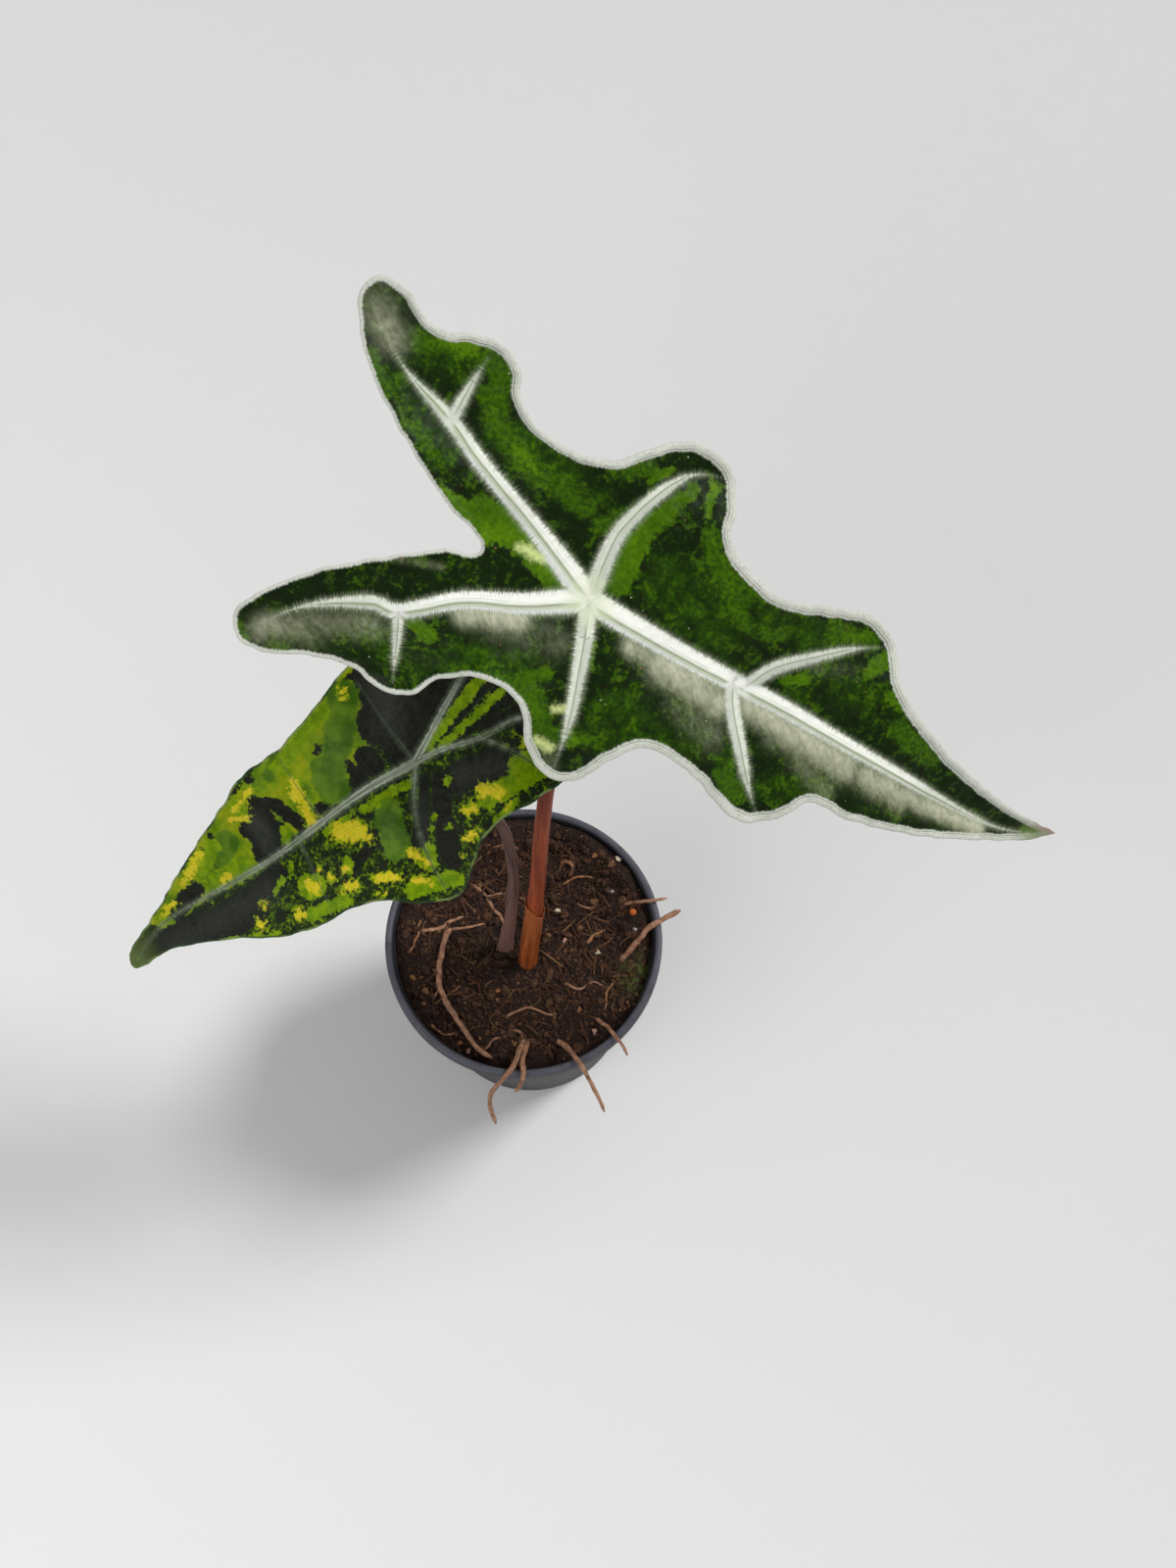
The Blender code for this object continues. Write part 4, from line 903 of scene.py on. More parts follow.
def green_leaf_finish():
    """Deep green with bright patches, wide feathered white veins with a painted lit side and shaded
    side, a pale grey-white margin and painted sheen.
    """
    f = LeafFinish("green_leaf_top")
    clouds = f.cloud(f.flat, 3.6, 6, 0.62, 0.5)
    flecks = f.cloud(f.flat, 1.2, 5, 0.66, 0.2)
    wide = f.cloud(f.flat, 12, 3, 0.5)
    level = clouds * 0.6 + flecks * 0.4
    # The ground, from deep green to bright patches
    deep = f.ramp(level, [(0.34, (25, 24, 7)), (0.42, (12, 24, 4)), (0.52, (15, 33, 3)),
                          (0.66, (25, 48, 4))])
    mottled = f.ramp(level, [(0.36, (15, 30, 4)), (0.46, (24, 46, 2)), (0.54, (34, 62, 2)),
                             (0.66, (48, 82, 2))])
    bright = f.ramp(flecks * 0.5 + wide * 0.5, [(0.38, (46, 76, 1)), (0.50, (60, 94, 1)),
                                                (0.62, (80, 114, 3))])
    colour = f.mix(f.patch(f.ground, level, 9.0, 2.4), deep, mottled)
    colour = f.mix(f.patch(f.dark, clouds, 8.0, 1.8) * 0.85, colour, deep)
    olive = f.mix(flecks.step(0.35, 0.65), (38, 66, 2), (61, 97, 2))
    colour = f.mix(f.patch(f.mid, level, 8.0, 1.3) * 0.85, colour, olive)
    colour = f.mix(f.patch(f.lime, level, 8.0, 0.65), colour, bright)
    stray = (level + wide * 0.2).step(0.62, 0.70)
    colour = f.mix(stray * 0.4, colour, bright)
    # Painted sheen: a pale reflection painted beside the veins, brightest next to them, in wisps and
    # strokes
    wisps = f.comb(5.0, 6.0, 4.0, 4, 0.52, 0.4)
    slant = f.vector((f.u * 0.64 + f.v * 0.77) / 2.2, (f.u * 0.77 - f.v * 0.64) / 5.0)
    strokes = f.cloud(slant, 1.0, 3, 0.50, 1.2)
    sheen = (f.painted_sheen * (0.24 + wisps * 0.62 + strokes * 0.30 + flecks * 0.42)).step(0.05, 0.90)
    near = f.past.step(8.0, 0.0)
    pale = f.mix(near * 0.35 + f.painted_sheen * 0.35 + (strokes * 0.6 + flecks * 0.4 - 0.47) * 1.3,
                 (80, 96, 46), (200, 198, 176))
    colour = f.mix(sheen * (0.60 + near * 0.30), colour, pale)
    # The cream tufts, and the halo along the veins
    comb = f.comb(0.26, 2.4)
    tufts = f.comb(1.4, 6.0, 7.0, 4, 0.65)
    cream = (f.yellow + (comb - 0.5) * 1.2 + (flecks - 0.5) * 3.0).step(-1.3, 1.1)
    colour = f.mix(cream * 0.85, colour, (202, 212, 140))
    ragged = f.past + (comb - 0.5) * 3.0 + (tufts - 0.5) * 1.3
    halo = (1 - ragged.step(-0.2, 1.5)) * 0.40
    colour = f.mix(halo, colour, (148, 158, 128))
    # The veins: white, painted lighter on the lit side and greyer on the shaded side, with strands and
    # fine grey lines
    calm = f.from_rival.step(0.2, 2.4)
    lit = 0.5 + (f.groove.step(-0.9, 0.5) - 0.5) * calm
    white = f.mix(lit, (206, 208, 204), (232, 233, 225))
    strands = f.cloud(f.vector(f.along / 14, f.groove * 1.6), 1.0, 3, 0.6)
    white = f.mix(strands.step(0.46, 0.74) * 0.30, white, (180, 190, 168))
    side_start = VEIN_STRETCH * len(UPPER_LEAF.main_veins)
    side = f.along.step(side_start - 40, side_start - 10)
    dull = (side + f.u.step(-38, -48) + f.u.step(95, 122)).step(0.0, 1.0)
    white = f.mix(dull * 0.42, white, (166, 174, 152))
    tint = f.stripe(f.groove + 0.10, 0.95, 0.40) * f.past.step(-0.2, -0.9) * calm
    white = f.mix(tint * (0.70 - side * 0.40), white, (162, 171, 138))
    white = f.mix(comb.step(0.44, 0.60) * f.past.step(-1.8, -0.4) * 0.35, white, (166, 174, 156))
    seat = (f.u * f.u + f.v * f.v).step(70, 6)
    wander = (f.cloud(f.vector(f.along / 6, 0.0), 1.0, 2) - 0.5) * 0.5
    line = f.stripe(f.groove + wander, 0.22, 0.06) * f.past.step(-0.2, -0.7)
    line = line * (1 - seat * 0.8) * calm
    white = f.mix(line * 0.5, white, (98, 111, 80))
    second = f.stripe(f.groove - 1.15 + wander, 0.14, 0.04) * f.past.step(-0.5, -1.1) * calm
    white = f.mix(second * strands.step(0.40, 0.55) * 0.35, white, (110, 122, 90))
    white = f.mix(seat * 0.35, white, (204, 214, 166))
    colour = f.mix(1 - ragged.step(-0.55, 0.35), colour, white)
    # The pale grey-white margin, with two broken lines in it
    fray = f.cloud(f.vector(f.round_margin / 0.5, f.from_margin / 1.6), 1.0, 3, 0.6)
    edge = f.from_margin + (fray - 0.5) * 1.1
    dull_edge = f.cloud(f.flat, 0.9, 3).step(0.4, 0.7) * 0.5
    silver_edge = f.mix(dull_edge, (192, 194, 184), (160, 164, 150))
    broken = f.cloud(f.vector(f.round_margin / 5.0, f.band), 1.0, 2) * f.band.step(0.8, 1.7)
    inner_line = f.stripe(f.from_margin - f.band * 0.74, 0.18, 0.05) * broken.step(0.30, 0.55)
    outer_line = f.stripe(f.from_margin - f.band * 0.44, 0.13, 0.03) * broken.step(0.42, 0.62)
    silver_edge = f.mix(inner_line * 0.72 + outer_line * 0.5, silver_edge, (78, 88, 58))
    colour = f.mix(1 - edge.step(f.band - 0.35, f.band + 0.35), colour, silver_edge)
    # The tip and the dust
    tip = f.u.step(145, 156)
    colour = f.mix(tip * 0.75, colour, f.mix(f.v.step(-2.5, 0.8), (104, 118, 76), (112, 72, 66)))
    dust = f.cells(f.flat, 4.4).step(0.050, 0.024)
    colour = f.mix(dust, colour, f.mix(wide.step(0.49, 0.51), (206, 200, 188), (170, 96, 66)))
    ripples = wisps * 0.4 + strokes * 0.25 - line * 0.6
    rough = 0.42 + flecks * 0.10 + (1 - ragged.step(-0.4, 0.2)) * 0.12
    return f.close(colour, rough, f.skin(ripples, 0.22), Specular_IOR_Level=0.07)


def mottled_leaf_finish():
    """Crisp patches of near-black, green, lime and yellow, with thin grey veins."""
    f = LeafFinish("mottled_leaf_top")
    blots = f.cloud(f.flat, 2.6, 6, 0.68, 0.3)
    flecks = f.cloud(f.flat, 0.9, 5, 0.72, 0.2)
    wide = f.cloud(f.flat, 9, 3, 0.55)
    border = blots * 0.55 + flecks * 0.45
    # The patches, from near-black to yellow
    black = f.mix(flecks.step(0.35, 0.65), (17, 19, 14), (32, 34, 26))
    speckled = f.ramp(border, [(0.00, (19, 22, 14)), (0.50, (25, 33, 15)), (0.53, (48, 74, 8)),
                               (0.58, (92, 120, 8)), (0.70, (146, 146, 24))])
    lime_ground = f.ramp(wide * 0.7 + blots * 0.3, [(0.34, (54, 84, 6)), (0.42, (80, 112, 5)),
                                                     (0.50, (108, 134, 4)), (0.60, (136, 146, 8)),
                                                     (0.70, (156, 148, 22))])
    colour = f.mix(f.patch(f.ground, border, 7.0), speckled, lime_ground)
    colour = f.mix(f.patch(f.dark, border, 6.5, 0.10), colour, black)
    green = f.mix(wide.step(0.40, 0.60), (56, 90, 10), (86, 118, 22))
    colour = f.mix(f.patch(f.mid, border, 7.0, 0.25), colour, green)
    lime = f.mix(blots.step(0.40, 0.62), (88, 122, 2), (120, 146, 4))
    colour = f.mix(f.patch(f.lime, border, 7.5, 0.16), colour, lime)
    spots = f.cloud(f.flat, 1.5, 5, 0.72, 0.4)
    colour = f.mix(f.patch(f.yellow + 0.1, spots, 11.0, 0.18), colour, (120, 146, 3))
    yellow = f.mix(flecks.step(0.40, 0.60), (180, 176, 12), (208, 186, 48))
    yellow = f.mix((spots * 0.5 + wide * 0.5).step(0.52, 0.60) * 0.45, yellow, (200, 152, 58))
    heart = f.cloud(f.flat, 1.9, 5, 0.62, 0.6)
    colour = f.mix(f.patch(f.yellow - 0.3, heart * 0.5 + spots * 0.5, 10.0, 0.55), colour, yellow)
    stray = (f.cloud(f.flat, 1.3, 4, 0.7, 0.3)).step(0.655, 0.67) * f.dark.step(0.5, -1.5)
    colour = f.mix(stray * 0.85, colour, black)
    # Painted grey sheen: a reflection painted in wisps where the dabs of sheen lie
    wisps = f.comb(2.2, 4.0, 2.0, 5, 0.62, 0.9)
    colour = f.mix((f.painted_sheen * (0.3 + wisps * 1.3)).step(0.0, 1.0) * 0.42, colour, (102, 106, 100))
    # The veins
    comb = f.comb(0.5, 2.5)
    tufts = f.comb(1.8, 5.0, 7.0)
    ragged = f.past + (comb - 0.5) * 0.9 + (tufts - 0.5) * 1.6
    colour = f.mix((1 - ragged.step(-0.2, 1.3)) * 0.36, colour, (112, 122, 102))
    lengthwise = f.cloud(f.vector(f.along / 12, f.off * 2.0), 1.0, 3, 0.6)
    grey = f.mix(lengthwise.step(0.42, 0.64), (164, 170, 156), (100, 116, 82))
    colour = f.mix((1 - ragged.step(-0.40, 0.12)) * 0.85, colour, grey)
    crease = f.off.step(0.34, 0.08) * f.past.step(1.2, 0.2)
    colour = f.mix(crease * 0.5, colour, (48, 58, 36))
    # The rim, the tip and the dust
    fray = f.cloud(f.flat, 0.7, 3, 0.6)
    rim = 1 - (f.from_margin + (fray - 0.5) * 0.6).step(0.28, 0.62)
    colour = f.mix(rim * 0.8, colour, f.mix(wide.step(0.45, 0.55), (40, 62, 36), (116, 134, 78)))
    tip = f.u.step(94, 108)
    colour = f.mix(tip * 0.7, colour, (90, 106, 54))
    dust = f.cells(f.flat, 8.0).step(0.040, 0.018) * f.u.step(30, 0)
    colour = f.mix(dust, colour, (160, 84, 58))
    ripples = wisps * 0.7 - crease * 0.6
    return f.close(colour, 0.44 + flecks * 0.14, f.skin(ripples, 0.18), Specular_IOR_Level=0.07)


def leaf_underside_finish(name, plain, blush, rib):
    """The duller under face, flushed with purple, with pale ribs."""
    f = LeafFinish(name)
    clouds = f.cloud(f.flat, 6.0, 5, 0.6)
    flecks = f.cloud(f.flat, 1.6, 4, 0.6)
    colour = f.mix(clouds.step(0.38, 0.66), plain, blush)
    colour = f.mix(f.patch(f.lime, clouds, 6.0, 0.8) * 0.5, colour, (104, 118, 62))
    colour = f.mix((flecks.step(0.5, 0.7)) * 0.2, colour, plain)
    colour = f.mix((1 - f.past.step(-0.8, 0.7)) * 0.7, colour, rib)
    colour = f.mix((1 - f.off.step(0.5, 1.3)) * f.past.step(3.0, 0.0) * 0.6, colour, rib)
    colour = f.mix((1 - f.from_margin.step(0.5, 1.2)) * 0.6, colour, rib)
    return f.close(colour, 0.52 + flecks * 0.12, f.skin(flecks, 0.10), Specular_IOR_Level=0.3)


def tube(name, line, radius_at, sides):
    """A closed tube along a line. radius_at takes the share of the way along and the angles."""
    count = len(line)
    share = np.linspace(0, 1, count)[:, None]
    angles = 2 * math.pi * np.arange(sides)[None, :] / sides
    ahead = np.gradient(line, axis=0)
    ahead /= np.linalg.norm(ahead, axis=1)[:, None]
    across = np.zeros_like(line)
    side = np.array((1.0, 0.0, 0.0))
    for k in range(count):
        side = side - ahead[k] * (side @ ahead[k])
        side /= np.linalg.norm(side)
        across[k] = side
    up = np.cross(ahead, across)
    out = across[:, None] * np.cos(angles)[..., None] + up[:, None] * np.sin(angles)[..., None]
    radius = radius_at(share, angles) * np.ones((count, sides))
    points = (line[:, None] + out * radius[..., None]).reshape(-1, 3)
    rings = rings_from(0, count, sides)
    mesh = mesh_of(name, points, [*wall(rings), rings[0][::-1], rings[-1]])
    keep_lay(mesh, angles, walked_along(line))
    return mesh


def make_stalk(name, node, route, radii, leaf, slot_name, finish, ridge, foot_spread=0.0):
    """A leaf stalk that swells where it meets the blade; its foot can be spread out flat."""
    end = Vector(leaf.seat) - leaf.normal() * STALK_END_DEPTH
    line = smooth_line([*route, tuple(end)], STALK_STEP)
    length = len(line) - 1
    heights = line[:, 2]
    base = np.interp(heights, *np.array(radii).T)
    from_top = (1 - np.linspace(0, 1, length + 1)) * length * STALK_STEP

    def radius_at(share, angles):
        at = np.rint(share * length).astype(int)
        plain = base[at] + foot_spread * bell(heights[at] - FOOT_HEIGHT, 10) * np.cos(2 * angles)
        flare = 0.35 * bell(from_top[at] - 4, 4.0)
        ridges = ridge * np.cos(5 * angles + 0.6) + 0.4 * ridge * np.cos(11 * angles + share * 9)
        uneven = 0.05 * np.sin(share * 37 + 2 * np.cos(angles)) + 0.04 * np.sin(share * 91 + angles)
        return plain + flare + ridges + uneven

    mesh = tube(name, line, radius_at, STALK_SIDES)
    return dress(new_piece(name, mesh), node, slot_name, finish)


def make_sheath(finish):
    """The papery sheath that wraps the foot of the upper stalk and ends in a slanting, thin edge."""
    line = smooth_line(UPPER_STALK, 0.8)
    heights = line[:, 2]
    base = np.interp(heights, *np.array(UPPER_STALK_RADII).T)
    angles = 2 * math.pi * np.arange(SHEATH_SIDES) / SHEATH_SIDES
    ragged = 0.5 * np.sin(3 * angles + 1) + 0.25 * np.sin(11 * angles)
    top = SHEATH_TOP - SHEATH_SLANT * np.cos(angles) + ragged
    height = SHEATH_FOOT + (top - SHEATH_FOOT) * np.linspace(0, 1, SHEATH_RINGS)[:, None]
    centre = np.stack([np.interp(height, heights, axis) for axis in line.T], axis=-1)
    open_edge = 0.30 * np.exp(-(top - height) / 1.6)
    radius = np.interp(height, heights, base) + SHEATH_LIFT + open_edge
    radius += 0.08 * np.sin(4 * angles + height * 0.3)
    out = np.stack([np.cos(angles), np.sin(angles), np.zeros(SHEATH_SIDES)], axis=-1)
    points = np.vstack([(centre + out * (radius - inset)[..., None]).reshape(-1, 3)
                        for inset in (0, SHEATH_WALL)])
    outer = rings_from(0, SHEATH_RINGS, SHEATH_SIDES)
    inner = rings_from(SHEATH_RINGS * SHEATH_SIDES, SHEATH_RINGS, SHEATH_SIDES)
    mesh = mesh_of("stalk_sheath", points, wall([*outer, *reversed(inner), outer[0]]))
    keep_lay(mesh, angles, np.arange(SHEATH_RINGS), walls=2)
    return dress(new_piece("stalk_sheath", mesh), None, "red_stalk", finish)


def stalk_finish(name, light, dark, streak, stretch_tone, stretch_height):
    """A stalk's skin: lengthwise streaks and broken blotches over two tones, and a stretch of another
    tone round a given height.
    """
    f = Finish(name)
    lay = f.field("lay")[0]
    streaks = f.cloud(f.scaled(lay, (1.5, 1.5, 0.045)), 1.0, 5, 0.62)
    thin = f.cloud(f.scaled(lay, (6.0, 6.0, 0.10)), 1.0, 3, 0.6)
    blotch = f.cloud(f.scaled(lay, (1.2, 1.2, 0.35)), 1.0, 5, 0.7)
    colour = f.mix(streaks.step(0.32, 0.68), dark, light)
    colour = f.mix(thin.step(0.50, 0.66) * 0.5, colour, streak)
    colour = f.mix(blotch.step(0.56, 0.70) * 0.45, colour, dark)
    place = f.place()
    # A soft stretch round the given height takes the given tone; on the red stalk it is a painted
    # shadow of the blades
    from_stretch = f.height(place) - stretch_height + (streaks - 0.5) * 24
    colour = f.mix(from_stretch.maths("ABSOLUTE").step(20, 6) * 0.6, colour, stretch_tone)
    relief = f.bump(f.cloud(place, 0.35, 3), 0.03, f.bump(thin, 0.10))
    return f.close(colour, 0.40 + streaks * 0.18, relief, Specular_IOR_Level=0.2)


def make_root(name, route, thick, thin, finish, seed):
    """A bare root: knobbly, a little kinked, and blunt at its free tip."""
    line = smooth_line(route, 0.8)
    inner = np.sin(np.linspace(0, math.pi, len(line)))[:, None]
    kinks = np.stack([ripple(line, 6.5, seed + k) for k in range(3)], axis=1)
    line = line + 0.16 * kinks * inner
    length = len(line) - 1

    def radius_at(share, angles):
        plain = thick + (thin - thick) * share
        steps = share * length
        knobs = 0.07 * np.sin(steps * 0.55 + seed) + 0.05 * np.sin(steps * 1.3 + angles)
        tip = np.clip((1 - share) * length / 2.2, 0.12, 1) ** 0.5
        return (plain * (1 + knobs) + 0.03 * np.sin(3 * angles + share * 20)) * tip

    return dress(new_piece("bare_" + name, tube(name, line, radius_at, 14)), name, "root_skin", finish)


def root_finish(name, skin, shade, tip):
    """A bare root's skin: mottled, faintly ringed, and dirty in places."""
    f = Finish(name)
    place = f.place()
    mottle = f.cloud(place, 2.0, 5, 0.65)
    rings = f.cloud(f.scaled(f.field("lay")[0], (0.8, 0.8, 1.4)), 1.0, 3, 0.6)
    colour = f.mix(mottle.step(0.35, 0.68), shade, skin)
    colour = f.mix(rings.step(0.55, 0.7) * 0.35, colour, tip)
    dirt = f.cloud(place, 1.1, 5, 0.7).step(0.56, 0.66)
    colour = f.mix(dirt * 0.6, colour, (44, 28, 20))
    relief = f.bump(f.cloud(place, 0.4, 3), 0.05, f.bump(rings, 0.12))
    return f.close(colour, 0.55 + mottle * 0.2, relief, Specular_IOR_Level=0.35)


def corm_finish():
    """The buried corm's brown husk, with rings where old leaves sat."""
    f = Finish("corm_husk")
    place = f.place()
    husk = f.cloud(place, 2.5, 5, 0.65)
    rings = f.cloud(f.scaled(place, (0.06, 0.06, 0.9)), 1.0, 3, 0.6)
    colour = f.mix(husk.step(0.35, 0.65), (62, 40, 26), (112, 78, 52))
    colour = f.mix(rings.step(0.50, 0.62) * 0.6, colour, (44, 28, 20))
    return f.close(colour, 0.7 + husk * 0.2, f.bump(rings, 0.3), Specular_IOR_Level=0.3)


def rounded(corners, steps):
    """A profile from (radius, height, rounding) corners, each rounded one drawn as a curve."""
    profile = []
    for k, (radius, height, rounding) in enumerate(corners):
        corner = Vector((radius, height))
        if not rounding:
            profile.append(tuple(corner))
            continue
        start = corner + (Vector(corners[k - 1][:2]) - corner).normalized() * rounding
        end = corner + (Vector(corners[k + 1][:2]) - corner).normalized() * rounding
        for i in range(steps + 1):
            t = i / steps
            profile.append(tuple(start * (1 - t) ** 2 + corner * 2 * t * (1 - t) + end * t * t))
    return profile


def inner_radius(height):
    """The pot's inside radius at a height, without the corner at the floor."""
    if height >= COLLAR_FOOT:
        return COLLAR_RADIUS - WALL
    slope = (SHOULDER_RADIUS - BASE_RADIUS) / COLLAR_FOOT
    return BASE_RADIUS + slope * height - WALL


def turned(name, profile, sides):
    """A surface turned about Z from a profile that starts on the axis, facing outwards."""
    bm = bmesh.new()
    verts = [bm.verts.new(Vector((radius, 0, height)) * MM) for radius, height in profile]
    edges = [bm.edges.new(pair) for pair in zip(verts, verts[1:])]
    bmesh.ops.spin(bm, geom=verts + edges, cent=(0, 0, 0), axis=(0, 0, 1),
                   angle=2 * math.pi, steps=sides, use_merge=True)
    bmesh.ops.remove_doubles(bm, verts=bm.verts, dist=0.001 * MM)
    bmesh.ops.recalc_face_normals(bm, faces=bm.faces)
    mesh = bpy.data.meshes.new(name)
    bm.to_mesh(mesh)
    bm.free()
    return mesh


def bored(obj, drills):
    """Cuts the drills out of a piece, as a plain mesh."""
    cutter = new_piece("drills", drills, smooth=False)
    cut = obj.modifiers.new("cut", "BOOLEAN")
    cut.object = cutter
    cut.operation = "DIFFERENCE"
    cut.solver = "EXACT"
    bpy.context.view_layer.update()
    graph = bpy.context.evaluated_depsgraph_get()
    solid = bpy.data.meshes.new_from_object(obj.evaluated_get(graph))
    obj.modifiers.clear()
    obj.data = solid
    bpy.data.objects.remove(cutter)
    solid.shade_smooth()
    solid.set_sharp_from_angle(angle=math.radians(CREASE_ANGLE))


def make_pot(finish):
    """The nursery pot: thin and tapered, with a collar, a rolled lip, a foot ring and drain holes."""
    soft = MOULD_ROUNDING
    beaded = COLLAR_RADIUS + BEAD_HEIGHT
    corners = [
        (0, FLOOR_TOP, 0), (inner_radius(FLOOR_TOP), FLOOR_TOP, 1.2),
        (inner_radius(COLLAR_FOOT - 0.8), COLLAR_FOOT - 0.8, soft),
        (inner_radius(COLLAR_FOOT), COLLAR_FOOT, soft), (inner_radius(LIP_FOOT), LIP_FOOT, soft),
        (MOUTH_RADIUS, POT_HEIGHT, 0.8), (RIM_RADIUS - 0.9, POT_HEIGHT, 0.2),
        (RIM_RADIUS, POT_HEIGHT - 0.5, 0.5), (RIM_RADIUS + 0.05, LIP_FOOT, 0.4),
        (COLLAR_RADIUS, LIP_FOOT, soft), (COLLAR_RADIUS, COLLAR_FOOT + 4.2, 0.1),
        (beaded, COLLAR_FOOT + 3.9, 0.1), (beaded, COLLAR_FOOT + 3.2, 0.1),
        (COLLAR_RADIUS, COLLAR_FOOT + 2.9, 0.1), (COLLAR_RADIUS, COLLAR_FOOT + 0.4, soft),
        (SHOULDER_RADIUS, COLLAR_FOOT - 0.4, soft), (BASE_RADIUS + 0.6, 6.0, 0.2),
        (BASE_RADIUS, 1.2, 0.6), (FOOT_OUTER, 0, 0.4), (FOOT_INNER, 0, soft),
        (FOOT_INNER - 0.4, GROOVE_DEPTH, soft), (PAD_RADIUS + 0.4, GROOVE_DEPTH, soft),
        (PAD_RADIUS, 0, soft), (0, 0, 0)]
    pot = new_piece("pot_shell", turned("pot_shell", rounded(corners, 4), POT_SIDES))
    drills = bmesh.new()
    for k in range(DRAIN_HOLES):
        turn = 2 * math.pi * (k + 0.5) / DRAIN_HOLES
        made = bmesh.ops.create_cone(drills, cap_ends=True, segments=32, radius1=DRAIN_RADIUS * MM,
                                     radius2=DRAIN_RADIUS * MM, depth=3 * FLOOR_TOP * MM)
        spot = Vector((math.cos(turn), math.sin(turn), 0)) * DRAIN_CIRCLE * MM
        bmesh.ops.translate(drills, verts=made["verts"], vec=spot)
    mesh = bpy.data.meshes.new("drills")
    drills.to_mesh(mesh)
    drills.free()
    bored(pot, mesh)
    return dress(pot, "nursery_pot", "pot_plastic", finish)


def pot_finish():
    """Dark recycled plastic: faint moulding lines, scuffs, a painted highlight along the lip and
    splashed soil.
    """
    f = Finish("pot_plastic")
    place = f.place()
    swirl = f.cloud(f.scaled(place, (1, 1, 0.35)), 22, 4, 0.55)
    colour = f.mix(swirl.step(0.35, 0.7), (30, 30, 33), (42, 42, 47))
    # Painted highlight: the rolled lip is painted a paler bluish grey, in patches
    lip = f.height(place).step(POT_HEIGHT - 1.6, POT_HEIGHT - 0.3)
    patchy = f.cloud(place, 3.5, 5, 0.65)
    colour = f.mix(lip * (0.55 + patchy * 0.5), colour, (78, 79, 88))
    scuff = f.cloud(f.scaled(place, (1, 1, 3.2)), 2.6, 5, 0.72).step(0.60, 0.70)
    colour = f.mix(scuff * 0.20, colour, (96, 95, 94))
    grime = (f.cloud(place, 5.0, 6, 0.7) + lip * 0.08).step(0.60, 0.72)
    colour = f.mix(grime * 0.55, colour, (58, 44, 35))
    pits = f.cloud(place, 0.5, 3, 0.6)
    rings = f.cloud(f.scaled(place, (0.02, 0.02, 1)), 1.1, 2, 0.5)
    relief = f.bump(pits, 0.05, f.bump(rings, 0.06))
    rough = 0.50 + swirl * 0.10 + scuff * 0.15 + grime * 0.25
    return f.close(colour, rough, relief, Specular_IOR_Level=0.28)


def soil_height(x, y):
    """The uneven top of the soil."""
    place = Vector((x, y, 0)) / SOIL_GRAIN + Vector(SOIL_SEED_PLACE)
    return SOIL_TOP + SOIL_RELIEF * noise.noise(place)


def soil_detail(x, y):
    """The soil's finer lumps, its bank along the back and sides, and its shrunk edge at the right."""
    lumps = 0.55 * noise.noise(Vector((x, y, 3.0)) / 2.6)
    lumps += 0.30 * noise.noise(Vector((x, y, 7.0)) / 1.2)
    radius = math.hypot(x, y)
    near_wall = min(1, max(0, (radius - SHRUNK_START) / SHRUNK_WIDTH))
    facing = 0.25 + 0.75 * max(0, (0.8 * x - 0.6 * y) / max(radius, 1)) ** 2
    backward = min(1, max(0, 0.5 + 0.9 * y / max(radius, 1)))
    outward = min(1, max(0, (radius - BANK_START) / BANK_WIDTH))
    return lumps + BANK_HEIGHT * outward ** 2 * backward - SHRUNK_DEPTH * near_wall ** 2 * facing


def bed_height(x, y):
    """The height of the soil's surface, with its fine form."""
    return soil_height(x, y) + soil_detail(x, y)


def make_soil(finish):
    """The block of soil: an uneven top with a side and foot that follow the pot's inside."""
    turns = 2 * math.pi * np.arange(SOIL_SIDES) / SOIL_SIDES
    rim = SOIL_RADIUS * np.stack([np.cos(turns), np.sin(turns)], axis=1)
    flat, faces = meshed(rim, SOIL_STEP)
    points = [(x, y, bed_height(x, y)) for x, y in flat]
    rings = rings_from(0, 1, SOIL_SIDES)
    for radius, height in ((inner_radius(COLLAR_FOOT) - SOIL_GAP, COLLAR_FOOT + 0.4),
                           (inner_radius(COLLAR_FOOT - 1) - SOIL_GAP, COLLAR_FOOT - 0.8),
                           (inner_radius(5.6) - SOIL_GAP, 5.6),
                           (SOIL_FOOT_RADIUS - 0.9, FLOOR_TOP + SOIL_GAP)):
        rings += rings_from(len(points), 1, SOIL_SIDES)
        points += [(x * radius / SOIL_RADIUS, y * radius / SOIL_RADIUS, height) for x, y in rim]
    faces = [*faces, *wall(rings[::-1]), rings[-1][::-1]]
    bed = new_piece("soil_bed", mesh_of("soil_bed", points, faces))
    return dress(bed, "potting_soil", "soil", finish)


def soil_finish(name, light, dark, odd):
    """Damp peat: brown to near-black by the crumb, darkened round the middle by painted shade, mossy at
    the right.
    """
    f = Finish(name)
    place = f.place()
    chance = f.node("ShaderNodeAttribute", out="Fac", attribute_name="chance")
    grainy = f.cloud(place, 1.0, 5, 0.7)
    patches = f.cloud(place, 8.0, 4, 0.6)
    colour = f.mix(grainy.step(0.34, 0.66), dark, light)
    colour = f.mix(chance.step(0.35, 0.9) * 0.6, colour, f.mix(0.5, colour, odd))
    colour = f.mix(chance.step(0.93, 0.95) * 0.8, colour, odd)
    colour = f.mix(patches.step(0.48, 0.66) * 0.45, colour, dark)
    # Painted shade: the soil is darker round the feet of the stalks
    colour = f.mix(f.away(place, PAINTED_SHADE_SPOT).step(13.0, 5.0) * 0.6, colour, dark)
    mossy = f.away(place, MOSS_SPOT).step(11.0, 3.0) * f.cloud(place, 2.4, 4, 0.6).step(0.42, 0.58)
    colour = f.mix(mossy * 0.6, colour, (74, 84, 34))
    relief = f.bump(f.cloud(place, 0.3, 3), 0.08, f.bump(grainy, 0.25))
    return f.close(colour, 0.82 + grainy * 0.12, relief, Specular_IOR_Level=0.25)


